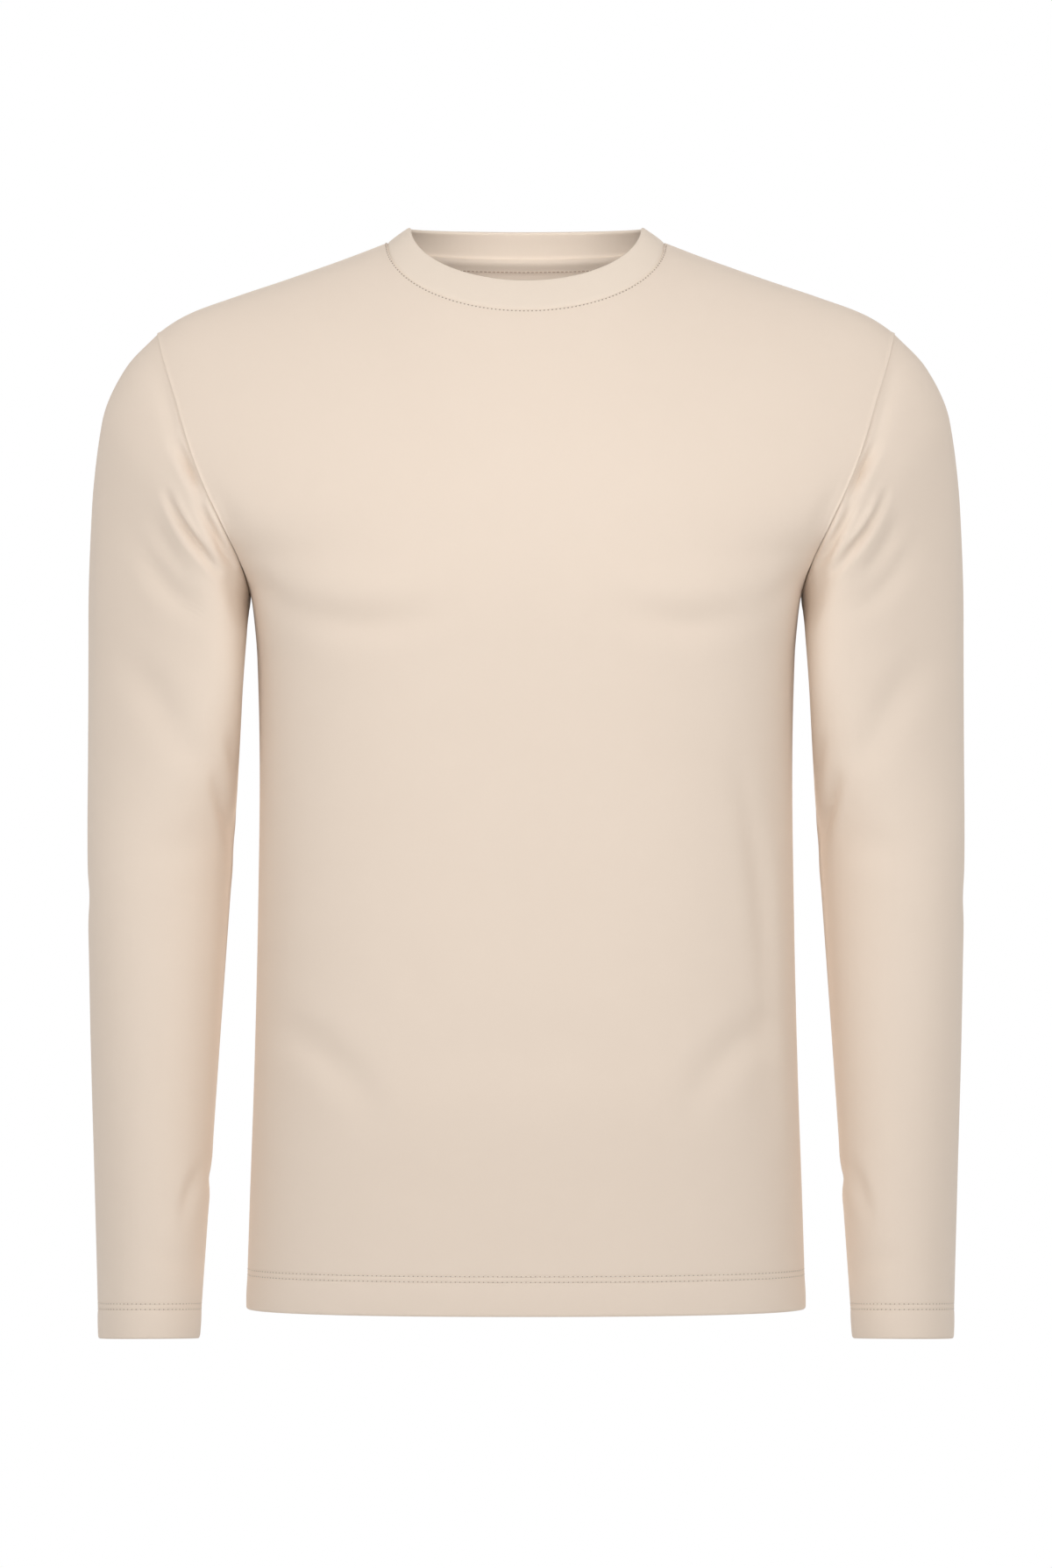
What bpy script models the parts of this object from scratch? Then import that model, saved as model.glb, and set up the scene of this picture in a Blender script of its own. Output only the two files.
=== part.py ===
"""Long-sleeve crew-neck T-shirt in light jersey, size M, filled out as it is when worn.

Metres, +Z up, the front faces -Y, and the wearer's left is at +X. The origin is midway between the
two points where a shoulder seam meets the neckband, which is where the wearer's shoulders hold it up.
The shirt is one smooth surface, worked out from its sizes. It is cut along its seams into the pieces
that a maker cuts out, and each piece is then given the thickness of its cloth.
"""

import math
from collections import namedtuple

import bmesh
import bpy
import numpy as np
from mathutils import Vector

# The cloth
JERSEY = 0.0016  # wall of the body and sleeves
HEM_JERSEY = 0.0028  # where the hem and the cuff are turned up and lie double
BAND_JERSEY = 0.0026  # the neckband is a strip folded in half
TAPE_JERSEY = 0.0009
SEAM_GAP = 0.0003
FOLD_ROUNDING = 0.45  # how far a folded edge bulges, as a share of its thickness
COLOUR = (0.80, 0.69, 0.58, 1.0)
ROUGHNESS = 0.85

# Neck
NECK_HALF_WIDTH = 0.090  # to the seam of the neckband
FRONT_NECK_DROP = 0.0468
BACK_NECK_DROP = 0.006
BAND_TOP_NARROWING = 0.851  # width of the band's top edge over that of its seam
BAND_TOP_SHALLOWING = {"front": 0.80, "back": 0.85}
BAND_TOP_SIDE = 0.0093
BAND_TOP_CENTRE = {"front": -0.0280, "back": 0.0096}
BAND_BULGE = 0.0005
TAPE_WIDTH = 0.0080  # it ends at a row of the back, and so does the row under the front's neckline
TAPE_START = 0.12  # where its upper edge lies, as a share of that width
TAPE_GAP = 0.0005

# Hem and cuffs
HEM_CENTRE = -0.6919
HEM_SIDE = -0.6916
HEM_DEPTH = 0.0210
CUFF_DEPTH = 0.0195
TURN_STEP = 0.0015  # half the height over which a turned-up hem gets its full thickness

# The shoulder turns over from front to back in a quarter circle that is this tall.
SHOULDER_ROUNDING = 0.190

ARMPIT = -0.228
SHOULDER_TIP = -0.0595

# Body at each height: half the width, and how far the centre front and centre back stand from the
# side seam. Above the armpit the width is that of the chest and arms together, which the armhole cuts.
# Squareness 2 is an ellipse, and more is boxier.
BodySection = namedtuple("BodySection", "height half_width front back squareness")
BODY = (
    BodySection(-0.7000, 0.1820, 0.0992, 0.1065, 2.35),
    BodySection(-0.6200, 0.1794, 0.1062, 0.1050, 2.35),
    BodySection(-0.5400, 0.1766, 0.1130, 0.0970, 2.35),
    BodySection(-0.4400, 0.1742, 0.1125, 0.0890, 2.40),
    BodySection(-0.3450, 0.1730, 0.1150, 0.0930, 2.45),
    BodySection(-0.2700, 0.1745, 0.1205, 0.1050, 2.60),
    BodySection(-0.2500, 0.1760, 0.1222, 0.1090, 2.75),
    BodySection(-0.2280, 0.1790, 0.1230, 0.1120, 2.90),
    BodySection(-0.2050, 0.1970, 0.1222, 0.1145, 2.45),
    BodySection(-0.1800, 0.2380, 0.1195, 0.1163, 2.15),
    BodySection(-0.1550, 0.2620, 0.1150, 0.1170, 2.10),
    BodySection(-0.1300, 0.2750, 0.1095, 0.1172, 2.10),
    BodySection(-0.1000, 0.2820, 0.1030, 0.1180, 2.10),
    BodySection(-0.0600, 0.2850, 0.0945, 0.1215, 2.10),
    BodySection(-0.0100, 0.2860, 0.0860, 0.1220, 2.10),
    BodySection(0.0400, 0.2860, 0.0840, 0.1220, 2.10),
)

# Top line of the shoulders, from the middle outwards. Inside the neck it only shapes the cloth near it.
ShoulderPoint = namedtuple("ShoulderPoint", "across height")
SHOULDER = (
    ShoulderPoint(-0.0450, 0.0172),
    ShoulderPoint(0.0000, 0.0240),
    ShoulderPoint(0.0450, 0.0172),
    ShoulderPoint(NECK_HALF_WIDTH, 0.0000),
    ShoulderPoint(0.1090, -0.0074),
    ShoulderPoint(0.1245, -0.0131),
    ShoulderPoint(0.1570, -0.0245),
    ShoulderPoint(0.1910, -0.0359),
    ShoulderPoint(0.2210, -0.0473),
    ShoulderPoint(0.2395, SHOULDER_TIP),
    ShoulderPoint(0.2620, -0.0850),
)

# Seam of the sleeve as seen from the front and from behind
ArmholePoint = namedtuple("ArmholePoint", "height front back")
ARMHOLE = (
    ArmholePoint(ARMPIT, 0.1790, 0.1790),
    ArmholePoint(-0.2262, 0.1791, 0.1791),
    ArmholePoint(-0.2207, 0.1803, 0.1803),
    ArmholePoint(-0.2120, 0.1833, 0.1831),
    ArmholePoint(-0.2065, 0.1853, 0.1849),
    ArmholePoint(-0.1820, 0.1967, 0.1935),
    ArmholePoint(-0.1570, 0.2086, 0.2035),
    ArmholePoint(-0.1330, 0.2178, 0.2125),
    ArmholePoint(-0.1040, 0.2265, 0.2225),
    ArmholePoint(-0.0830, 0.2333, 0.2300),
    ArmholePoint(SHOULDER_TIP, 0.2395, 0.2395),
)

# Sleeve at each ring: its outer and inner points in the front view, how far it stands in front of and
# behind them, how far its fullest part turns towards the body, how far the middle of the ring stands
# above its sides, and the rings up to the next row.
SleeveSection = namedtuple(
    "SleeveSection", "outer_x outer_z inner_x inner_z front back turn lift rings"
)
CUFF_END = -0.7113
SLEEVE = (
    SleeveSection(0.2395, SHOULDER_TIP, 0.1790, ARMPIT, 0.0560, 0.0555, 0.000, 0.0, 3),
    SleeveSection(0.2602, -0.0815, 0.1793, -0.2350, 0.0568, 0.0560, 0.009, 0.0, 3),
    SleeveSection(0.2762, -0.1157, 0.1798, -0.2440, 0.0580, 0.0570, 0.019, 0.0, 4),
    SleeveSection(0.2833, -0.1727, 0.1808, -0.2580, 0.0595, 0.0580, 0.026, 0.0, 4),
    SleeveSection(0.2858, -0.2450, 0.1826, -0.2830, 0.0600, 0.0590, 0.025, 0.0, 4),
    SleeveSection(0.2855, -0.3300, 0.1858, -0.3330, 0.0560, 0.0585, 0.013, 0.0, 3),
    SleeveSection(0.2848, -0.4000, 0.1906, -0.4000, 0.0495, 0.0565, -0.003, 0.0, 3),
    SleeveSection(0.2834, -0.5000, 0.1976, -0.5000, 0.0485, 0.0460, 0.000, 0.0, 3),
    SleeveSection(0.2804, -0.6200, 0.2057, -0.6200, 0.0475, 0.0320, 0.003, 0.0004, 2),
    SleeveSection(0.2784, CUFF_END + CUFF_DEPTH, 0.2107, CUFF_END + CUFF_DEPTH, 0.0465, 0.0255, 0.001, 0.0020, 1),
    SleeveSection(0.2780, CUFF_END, 0.2120, CUFF_END, 0.0460, 0.0250, 0.000, 0.0022, 0),
)
CAP_ROWS = 3  # rows over which the armhole's own shape becomes a plain oval
SLEEVE_OVAL = 0.92  # power on the sine that draws an oval: 1 is an ellipse, and less is fuller
FOLD_RISE = 0.012  # a fold fades out this near to the sleeve's outer and inner lines

# Largest folds of a sleeve, where the spare cloth under the arm is pushed together, and inside the
# elbow. Each is a trough between two points of the view from its side.
Fold = namedtuple("Fold", "side start_x start_z end_x end_z depth half_width")
SLEEVE_FOLDS = (
    Fold("front", 0.2290, -0.1500, 0.2010, -0.2080, 0.0042, 0.0085),
    Fold("front", 0.2140, -0.1700, 0.1930, -0.2040, 0.0030, 0.0070),
    Fold("front", 0.2460, -0.1640, 0.2150, -0.2240, 0.0024, 0.0090),
    Fold("front", 0.2060, -0.3480, 0.1900, -0.4000, 0.0028, 0.0100),
    Fold("back", 0.2270, -0.1380, 0.1990, -0.2060, 0.0038, 0.0090),
    Fold("back", 0.2440, -0.1600, 0.2120, -0.2180, 0.0026, 0.0085),
    Fold("back", 0.2380, -0.3300, 0.2030, -0.3720, 0.0024, 0.0110),
)

# How finely the surface is drawn
NECK_COLUMNS = 7  # from the centre to the shoulder seam
SHOULDER_COLUMNS = 8  # from there to the sleeve
NECK_SHARE = 0.44  # share of a row that lies under the neck
COLUMN_CROWDING = 1.35
ARMHOLE_ROWS = 15
BODY_ROWS = 11  # between the hem and the armpit
BODY_CROWDING = 1.3  # more than 1 brings these rows closer together near the armpit
BAND_ROWS = 3
SECTION_SAMPLES = 400


def through(knots, values):
    """A smooth curve through the values that never overshoots them, as a function."""
    knots = np.asarray(knots, float)
    values = np.asarray(values, float)
    step = np.diff(knots)
    slope = np.diff(values) / step
    bend = np.concatenate([slope[:1], np.zeros(len(slope) - 1), slope[-1:]])
    for i in range(1, len(slope)):
        if slope[i - 1] * slope[i] > 0:
            before = 2 * step[i] + step[i - 1]
            after = step[i] + 2 * step[i - 1]
            bend[i] = (before + after) / (before / slope[i - 1] + after / slope[i])

    def at(place):
        place = np.clip(place, knots[0], knots[-1])
        i = np.clip(np.searchsorted(knots, place) - 1, 0, len(step) - 1)
        t = (place - knots[i]) / step[i]
        return (
            values[i] * (1 + 2 * t) * (1 - t) ** 2
            + values[i + 1] * t * t * (3 - 2 * t)
            + step[i] * t * (1 - t) * (bend[i] * (1 - t) - bend[i + 1] * t)
        )

    return at


def column(table, knot, value):
    """The smooth curve of one named column of a table against another."""
    return through([getattr(r, knot) for r in table], [getattr(r, value) for r in table])


half_width_at = column(BODY, "height", "half_width")
reach_at = {side: column(BODY, "height", side) for side in ("front", "back")}
squareness_at = column(BODY, "height", "squareness")
shoulder_at = column(SHOULDER, "across", "height")
armhole_at = {side: column(ARMHOLE, "height", side) for side in ("front", "back")}
OUTWARD = {"front": -1.0, "back": 1.0}


def body_depth(across, height, side):
    """Y of the body's cloth at a place in the front view."""
    across = np.abs(across)
    squareness = squareness_at(height)
    share = np.clip(across / half_width_at(height), 0.0, 1.0)
    section = (1.0 - share**squareness) ** (1.0 / squareness)
    drop = np.clip((shoulder_at(across) - height) / SHOULDER_ROUNDING, 0.0, 1.0)
    over_shoulder = np.sqrt(1.0 - (1.0 - drop) ** 2)
    return OUTWARD[side] * reach_at[side](height) * section * over_shoulder


def body_point(across, height, side):
    return Vector((across, float(body_depth(across, height, side)), height))


def evenly_along(points, shares):
    """The places at these shares of a line's length."""
    points = np.asarray(points, float)
    run = np.concatenate([[0.0], np.cumsum(np.linalg.norm(np.diff(points, axis=0), axis=1))])
    return np.stack(
        [np.interp(np.asarray(shares) * run[-1], run, points[:, i]) for i in range(points.shape[1])],
        axis=1,
    )


def neckline(side, turn):
    """Place of the neckband's seam in the front view, for a turn of 0 at the centre and 1 at the side."""
    angle = turn * math.pi / 2
    drop = FRONT_NECK_DROP if side == "front" else BACK_NECK_DROP
    return NECK_HALF_WIDTH * math.sin(angle), -drop * math.cos(angle)


def shoulder_steps():
    """The columns from the neck to the sleeve, as shares of the way, closer together at the sleeve."""
    return 1.0 - (1.0 - np.linspace(0.0, 1.0, SHOULDER_COLUMNS + 1)[1:]) ** COLUMN_CROWDING


def column_shares():
    """Where each column crosses a row, as a share of the half row from the centre outwards."""
    neck = np.linspace(0.0, NECK_SHARE, NECK_COLUMNS + 1)
    return np.concatenate([neck, NECK_SHARE + shoulder_steps() * (1.0 - NECK_SHARE)])


def top_edge(side):
    """Neckline and shoulder seam of a panel in the front view."""
    line = [neckline(side, turn) for turn in np.linspace(0.0, 1.0, NECK_COLUMNS + 1)]
    tip = SHOULDER[-2].across
    for x in NECK_HALF_WIDTH + shoulder_steps() * (tip - NECK_HALF_WIDTH):
        line.append((x, float(shoulder_at(x))))
    return np.asarray(line)


def level_places(height_of, side, shares):
    """X and Z of a row that runs right round to the side seam, with its points evenly apart."""
    share = np.sin(np.linspace(0.0, math.pi / 2, SECTION_SAMPLES))
    height = np.array([height_of(s) for s in share])
    across = share * half_width_at(height)
    line = np.stack([across, body_depth(across, height, side), height], axis=1)
    return evenly_along(line, shares)[:, [0, 2]]


def hem_height(share):
    return HEM_SIDE + (HEM_CENTRE - HEM_SIDE) * (1.0 - share**2)


def body_rows(side):
    """The rows of a panel between the hem and the armpit, as heights for a share of the half width."""
    turned = [lambda s: hem_height(s)]
    turned.append(lambda s: hem_height(s) + HEM_DEPTH - TURN_STEP)
    turned.append(lambda s: hem_height(s) + HEM_DEPTH + TURN_STEP)
    top_of_hem = turned[-1]
    for i in range(1, BODY_ROWS + 1):
        way = 1.0 - (1.0 - i / BODY_ROWS) ** BODY_CROWDING
        turned.append(lambda s, t=way: top_of_hem(s) * (1 - t) + ARMPIT * t)
    return turned


def armhole_share(step):
    """Share of the armhole's height at a step, with the steps closer at the armpit and at the tip."""
    return (1.0 - math.cos(math.pi * step / ARMHOLE_ROWS)) / 2


def centre_share(step, height):
    """Share of the height on the centre line: even steps, but for the last, which is the tape's."""
    if step == ARMHOLE_ROWS:
        return 1.0
    return (1.0 - TAPE_WIDTH / height) * step / (ARMHOLE_ROWS - 1)


def upper_places(side, bottom, top, shares, step):
    """X and Z of a row above the armpit, between the centre line and the armhole."""
    places = []
    centre_top = top[0][1]
    for share, low, high in zip(shares, bottom, top):
        even = centre_share(step, centre_top - ARMPIT)
        v = even + (armhole_share(step) - even) * share**1.5
        arm_z = ARMPIT + (SHOULDER_TIP - ARMPIT) * v
        arm_x = float(armhole_at[side](arm_z))
        centre_z = ARMPIT + (centre_top - ARMPIT) * v
        x = share * arm_x
        x += (1 - v) * (low[0] - share * bottom[-1][0]) + v * (high[0] - share * top[-1][0])
        z = (1 - share) * centre_z + share * arm_z
        z += v * (high[1] - (1 - share) * centre_top - share * top[-1][1])
        places.append((x, z))
    return places


def panel_points(side):
    """The whole front or back as rows of points from hem to top, each from the right side to the left."""
    shares = column_shares()
    half_rows = [level_places(row, side, shares) for row in body_rows(side)]
    bottom = half_rows[-1]
    top = top_edge(side)
    for step in range(1, ARMHOLE_ROWS):
        half_rows.append(upper_places(side, bottom, top, shares, step))
    half_rows.append(top)
    rows = []
    for half in half_rows:
        points = [body_point(float(x), float(z), side) for x, z in half]
        mirrored = [Vector((-p.x, p.y, p.z)) for p in points[:0:-1]]
        rows.append(mirrored + points)
    return rows


def fold_depth(point, side):
    """How far the folds push a point of the sleeve inwards."""
    place = np.array([abs(point.x), point.z])
    total = 0.0
    for fold in SLEEVE_FOLDS:
        if fold.side != side:
            continue
        start = np.array([fold.start_x, fold.start_z])
        along = np.array([fold.end_x, fold.end_z]) - start
        t = float(np.clip((place - start) @ along / (along @ along), 0.0, 1.0))
        away = float(np.linalg.norm(place - start - t * along)) / fold.half_width
        total += fold.depth * math.exp(-away * away) * math.sin(math.pi * (0.1 + 0.8 * t))
    return total


def sleeve_places():
    """The rows of the sleeve's table at every ring, smoothed along the outer line."""
    run = [0.0]
    for above, below in zip(SLEEVE, SLEEVE[1:]):
        run.append(
            run[-1] + math.hypot(below.outer_x - above.outer_x, below.outer_z - above.outer_z)
        )
    curves = {
        name: through(run, [getattr(r, name) for r in SLEEVE]) for name in SleeveSection._fields[:-1]
    }
    places = [run[0]]
    for i, section in enumerate(SLEEVE[:-1]):
        for ring in range(1, section.rings + 1):
            places.append(run[i] + (run[i + 1] - run[i]) * ring / section.rings)
    cuff_top = run[-2]
    places[-2:-1] = [cuff_top - TURN_STEP, cuff_top + TURN_STEP]
    cap = run[CAP_ROWS]
    rings = []
    for place in places:
        row = {name: float(curve(place)) for name, curve in curves.items()}
        t = min(1.0, place / cap)
        row["oval"] = t * t * (3 - 2 * t)
        rings.append(row)
    return rings


def sleeve_points(armhole):
    """The left sleeve as rings of points, from the armhole's own ring down to the cuff."""
    places = sleeve_places()
    first = places[0]
    origin = np.array([first["inner_x"], first["inner_z"]])
    chord = np.array([first["outer_x"], first["outer_z"]]) - origin
    chord_length = float(np.linalg.norm(chord))
    along = chord / chord_length
    beside = np.array([along[1], -along[0]])
    cut = []
    for point in armhole:
        off = np.array([point.x, point.z]) - origin
        cut.append((float(off @ along) / chord_length, point.y, float(off @ beside)))
    rings = [[p.copy() for p in armhole]]
    for place in places[1:]:
        inner = np.array([place["inner_x"], place["inner_z"]])
        chord = np.array([place["outer_x"], place["outer_z"]]) - inner
        length = float(np.linalg.norm(chord))
        along = chord / length
        beside = np.array([along[1], -along[0]])
        wide = math.sqrt(length**2 - (2 * place["turn"]) ** 2)
        ring = []
        for i, (cut_along, cut_y, cut_beside) in enumerate(cut):
            angle = math.pi * i / ARMHOLE_ROWS
            swing = math.sin(angle)
            in_front = swing >= 0
            depth = place["front"] if in_front else place["back"]
            oval_y = -math.copysign(depth * abs(swing) ** SLEEVE_OVAL, swing)
            oval_along = (length - wide * math.cos(angle)) / 2 - place["turn"] * swing
            t = place["oval"]
            run = (1 - t) * cut_along * length + t * oval_along
            x, z = inner + along * run + beside * (1 - t) * cut_beside
            z += place["lift"] * abs(swing)
            point = Vector((float(x), (1 - t) * cut_y + t * oval_y, float(z)))
            side = "front" if point.y < 0 else "back"
            point.y -= OUTWARD[side] * fold_depth(point, side) * min(1.0, abs(point.y) / FOLD_RISE)
            ring.append(point)
        rings.append(ring)
    return rings


def band_points(front, back):
    """The neckband's outer face as rings of points, from its seam to its folded top edge."""
    centre = len(front[-1]) // 2
    neck = slice(centre - NECK_COLUMNS, centre + NECK_COLUMNS + 1)
    seam = [("front", p) for p in front[-1][neck]]
    seam += [("back", p) for p in back[-1][neck][::-1][1:-1]]
    rings = []
    for row in range(BAND_ROWS + 1):
        up = row / BAND_ROWS
        ring = []
        for side, point in seam:
            middle = abs(point.x) / NECK_HALF_WIDTH
            centre_share = math.sqrt(max(0.0, 1.0 - middle**2))
            top = Vector(
                (
                    point.x * BAND_TOP_NARROWING,
                    point.y * BAND_TOP_SHALLOWING[side],
                    BAND_TOP_SIDE + (BAND_TOP_CENTRE[side] - BAND_TOP_SIDE) * centre_share,
                )
            )
            bulge = Vector((point.x, point.y, 0.0)).normalized() * BAND_BULGE
            ring.append(point.lerp(top, up) + bulge * math.sin(math.pi * up))
        rings.append(ring)
    return rings


class Garment:
    """The shirt's surface: faces of all the pieces, which share their points along the seams."""

    def __init__(self):
        self.points = []
        self.known = {}
        self.faces = {}

    def point(self, place):
        key = tuple(round(c, 6) for c in place)
        if key not in self.known:
            self.known[key] = len(self.points)
            self.points.append(Vector(place))
        return self.known[key]

    def lay(self, piece, rows, ring=False, turned=False):
        """Adds a piece from rows of points. A ring's last point joins its first."""
        faces = self.faces.setdefault(piece, [])
        index = [[self.point(p) for p in row] for row in rows]
        count = len(index[0])
        for low, high in zip(index, index[1:]):
            for i in range(count if ring else count - 1):
                j = (i + 1) % count
                face = (low[i], low[j], high[j], high[i])
                faces.append(face[::-1] if turned else face)

    def normal(self, face):
        a, b, c, d = (self.points[i] for i in face)
        return (c - a).cross(d - b)


def edges_of(face):
    return zip(face, face[1:] + face[:1])


def seam_planes(garment, piece):
    """For each point on a seam of the piece, the ways it has to keep clear of the next piece.

    A seam's plane halves the angle between the two cloths, so they can lie flat side by side, stand
    in a ridge or lie back to back, as under the arm.
    """
    neighbour = {}
    for other, faces in garment.faces.items():
        if other != piece:
            for face in faces:
                for a, b in edges_of(face):
                    neighbour[b, a] = face
    ways = {}
    for face in garment.faces[piece]:
        for a, b in edges_of(face):
            if (a, b) not in neighbour:
                continue
            other = neighbour[a, b]
            edge = (garment.points[b] - garment.points[a]).normalized()
            own, next_to = garment.normal(face).normalized(), garment.normal(other).normalized()
            between = own + next_to
            if between.length < 0.05:
                between = edge.cross(own)
            way = between.cross(edge).normalized()
            into_own, into_next = own.cross(edge), edge.cross(next_to)
            if way.dot(into_own - into_next + (next_to - own) * 0.1) < 0:
                way.negate()
            for i in (a, b):
                ways.setdefault(i, []).append(way)
    return ways


def seam_move(ways):
    """The one move that takes a point clear of its seams by half the gap."""
    first, last = ways[0], ways[-1]
    return (first + last) * (SEAM_GAP / 2 / (1.0 + max(-0.5, first.dot(last))))


def cut_out(garment, piece, thickness_at):
    """Points and faces of a piece's closed wall. Its cloth lies inside the garment's surface."""
    faces = garment.faces[piece]
    normals = {}
    for face in faces:
        for i in face:
            normals[i] = normals.get(i, Vector()) + garment.normal(face)
    ways = seam_planes(garment, piece)
    outer, inner, index = [], [], {}
    for i, normal in normals.items():
        index[i] = len(outer)
        own = normal.normalized()
        place = garment.points[i].copy()
        lean = own.copy()
        if i in ways:
            place += seam_move(ways[i])
            for way in ways[i]:
                lean -= max(0.0, lean.dot(way)) * way
            lean.normalize()
        outer.append(place)
        inner.append(place - lean * (thickness_at(place) / max(0.6, lean.dot(own))))
    count = len(outer)
    points = outer + inner
    made = []
    own_edges = {edge for face in faces for edge in edges_of(face)}
    for face in faces:
        a, b, c, d = (index[i] for i in face)
        if (points[a] - points[c]).length <= (points[b] - points[d]).length:
            halves = ((a, b, c), (a, c, d))
        else:
            halves = ((a, b, d), (b, c, d))
        for half in halves:
            made.append(half)
            made.append(tuple(i + count for i in reversed(half)))
    crests = {}
    for face in faces:
        for a, b in edges_of(face):
            if (b, a) in own_edges:
                continue
            ia, ib = index[a], index[b]
            if a in ways and b in ways:
                made.append((ib, ia, ia + count, ib + count))
                continue
            out = (garment.points[b] - garment.points[a]).cross(garment.normal(face)).normalized()
            for i in (ia, ib):
                if i not in crests:
                    crests[i] = len(points)
                    wall = points[i] - points[i + count]
                    middle = points[i + count] + wall / 2
                    points.append(middle + out * (wall.length * FOLD_ROUNDING))
            made.append((ib, ia, crests[ia], crests[ib]))
            made.append((crests[ib], crests[ia], ia + count, ib + count))
    for i, crest in crests.items():
        if any(i == index[k] for k in ways):
            made.append(end_of_fold(index, ways, faces, own_edges, crests, i, count))
    return points, [face for face in made if face]


def end_of_fold(index, ways, faces, own_edges, crests, i, count):
    """The small triangle that closes a folded edge where it stops at a seam."""
    for face in faces:
        for a, b in edges_of(face):
            if (b, a) in own_edges or not (a in ways and b in ways):
                continue
            if index[b] == i:
                return (i + count, crests[i], i)
            if index[a] == i:
                return (i, crests[i], i + count)
    return None


def jersey_material(name):
    material = bpy.data.materials.new(name)
    material.use_nodes = True
    surface = material.node_tree.nodes["Principled BSDF"]
    surface.inputs["Base Color"].default_value = COLOUR
    surface.inputs["Roughness"].default_value = ROUGHNESS
    surface.inputs["Metallic"].default_value = 0.0
    material.diffuse_color = COLOUR
    return material


def add_piece(collection, name, points, faces):
    """Makes one solid from its points and faces, shaded smooth but for its rims."""
    mesh = bpy.data.meshes.new(name)
    mesh.from_pydata([tuple(p) for p in points], [], faces)
    solid = bmesh.new()
    solid.from_mesh(mesh)
    bmesh.ops.recalc_face_normals(solid, faces=solid.faces)
    solid.to_mesh(mesh)
    solid.free()
    mesh.shade_smooth()
    mesh.set_sharp_from_angle(angle=math.radians(50))
    mesh.materials.append(jersey_material(name.replace("_", " ") + " jersey"))
    piece = bpy.data.objects.new(name, mesh)
    collection.objects.link(piece)
    return piece


def tape_rows(back):
    """The tape inside the back neck as four edges, from the back panel's own two highest rows."""
    nudge = 0.0005
    upper, lower = back[-1], back[-2]
    centre = len(upper) // 2
    edges = {}
    for i in range(centre - NECK_COLUMNS + 1, centre + NECK_COLUMNS):
        for name, point in (("top", upper[i].lerp(lower[i], TAPE_START)), ("bottom", lower[i])):
            x, z = point.x, point.z
            across = body_point(x + nudge, z, "back") - body_point(x - nudge, z, "back")
            upwards = body_point(x, z + nudge, "back") - body_point(x, z - nudge, "back")
            outward = upwards.cross(across).normalized()
            for face, depth in (("near", JERSEY + TAPE_GAP), ("far", JERSEY + TAPE_GAP + TAPE_JERSEY)):
                edges.setdefault((face, name), []).append(point - outward * depth)
    return [edges[k] for k in (("near", "top"), ("near", "bottom"), ("far", "bottom"), ("far", "top"))]


def add_tape(collection, back):
    rows = tape_rows(back)
    count = len(rows[0])
    points = [p for row in rows for p in row]
    faces = []
    for side in range(4):
        first, second = side * count, (side + 1) % 4 * count
        for i in range(count - 1):
            faces.append((first + i, first + i + 1, second + i + 1, second + i))
    faces.append(tuple(side * count for side in range(4)))
    faces.append(tuple(side * count + count - 1 for side in (3, 2, 1, 0)))
    return add_piece(collection, "neck_tape", points, faces)


def body_thickness(place):
    share = min(1.0, abs(place.x) / float(half_width_at(place.z)))
    return HEM_JERSEY if place.z < hem_height(share) + HEM_DEPTH else JERSEY


def sleeve_thickness(place):
    return HEM_JERSEY if place.z < SLEEVE[-2].outer_z + SLEEVE[-2].lift else JERSEY


def clear_scene():
    for item in list(bpy.data.objects):
        bpy.data.objects.remove(item, do_unlink=True)


def main():
    clear_scene()
    collection = bpy.data.collections.new("long_sleeve_t_shirt")
    bpy.context.scene.collection.children.link(collection)
    front = panel_points("front")
    back = panel_points("back")
    armhole_rows = slice(len(front) - 1 - ARMHOLE_ROWS, None)
    up_the_front = [row[-1] for row in front[armhole_rows]]
    down_the_back = [row[-1] for row in back[armhole_rows]][-2:0:-1]
    sleeve = sleeve_points(up_the_front + down_the_back)
    mirrored = [[Vector((-p.x, p.y, p.z)) for p in ring] for ring in sleeve]

    shirt = Garment()
    shirt.lay("front", front)
    shirt.lay("back", back, turned=True)
    shirt.lay("left_sleeve", sleeve, ring=True, turned=True)
    shirt.lay("right_sleeve", mirrored, ring=True)
    shirt.lay("neckband", band_points(front, back), ring=True)

    walls = {
        "front": body_thickness,
        "back": body_thickness,
        "left_sleeve": sleeve_thickness,
        "right_sleeve": sleeve_thickness,
        "neckband": lambda place: BAND_JERSEY,
    }
    for name, thickness_at in walls.items():
        points, faces = cut_out(shirt, name, thickness_at)
        add_piece(collection, name, points, faces)
    add_tape(collection, back)


main()
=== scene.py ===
# %% [markdown]
# # A long-sleeve T-shirt, filled out as when it is worn
#
# This lesson dresses a plain model of a T-shirt in cloth. The plain model comes from CAD as six
# solids: a front, a back, two sleeves, a neckband and a tape inside the back neck. Each solid is
# replaced by a thin, finely meshed sheet of jersey with creases, turned hems, stitches and a knit.
# Everything is in metres. The front faces -Y, +Z is up, and the wearer's left is at +X.

import math
from collections import namedtuple

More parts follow.
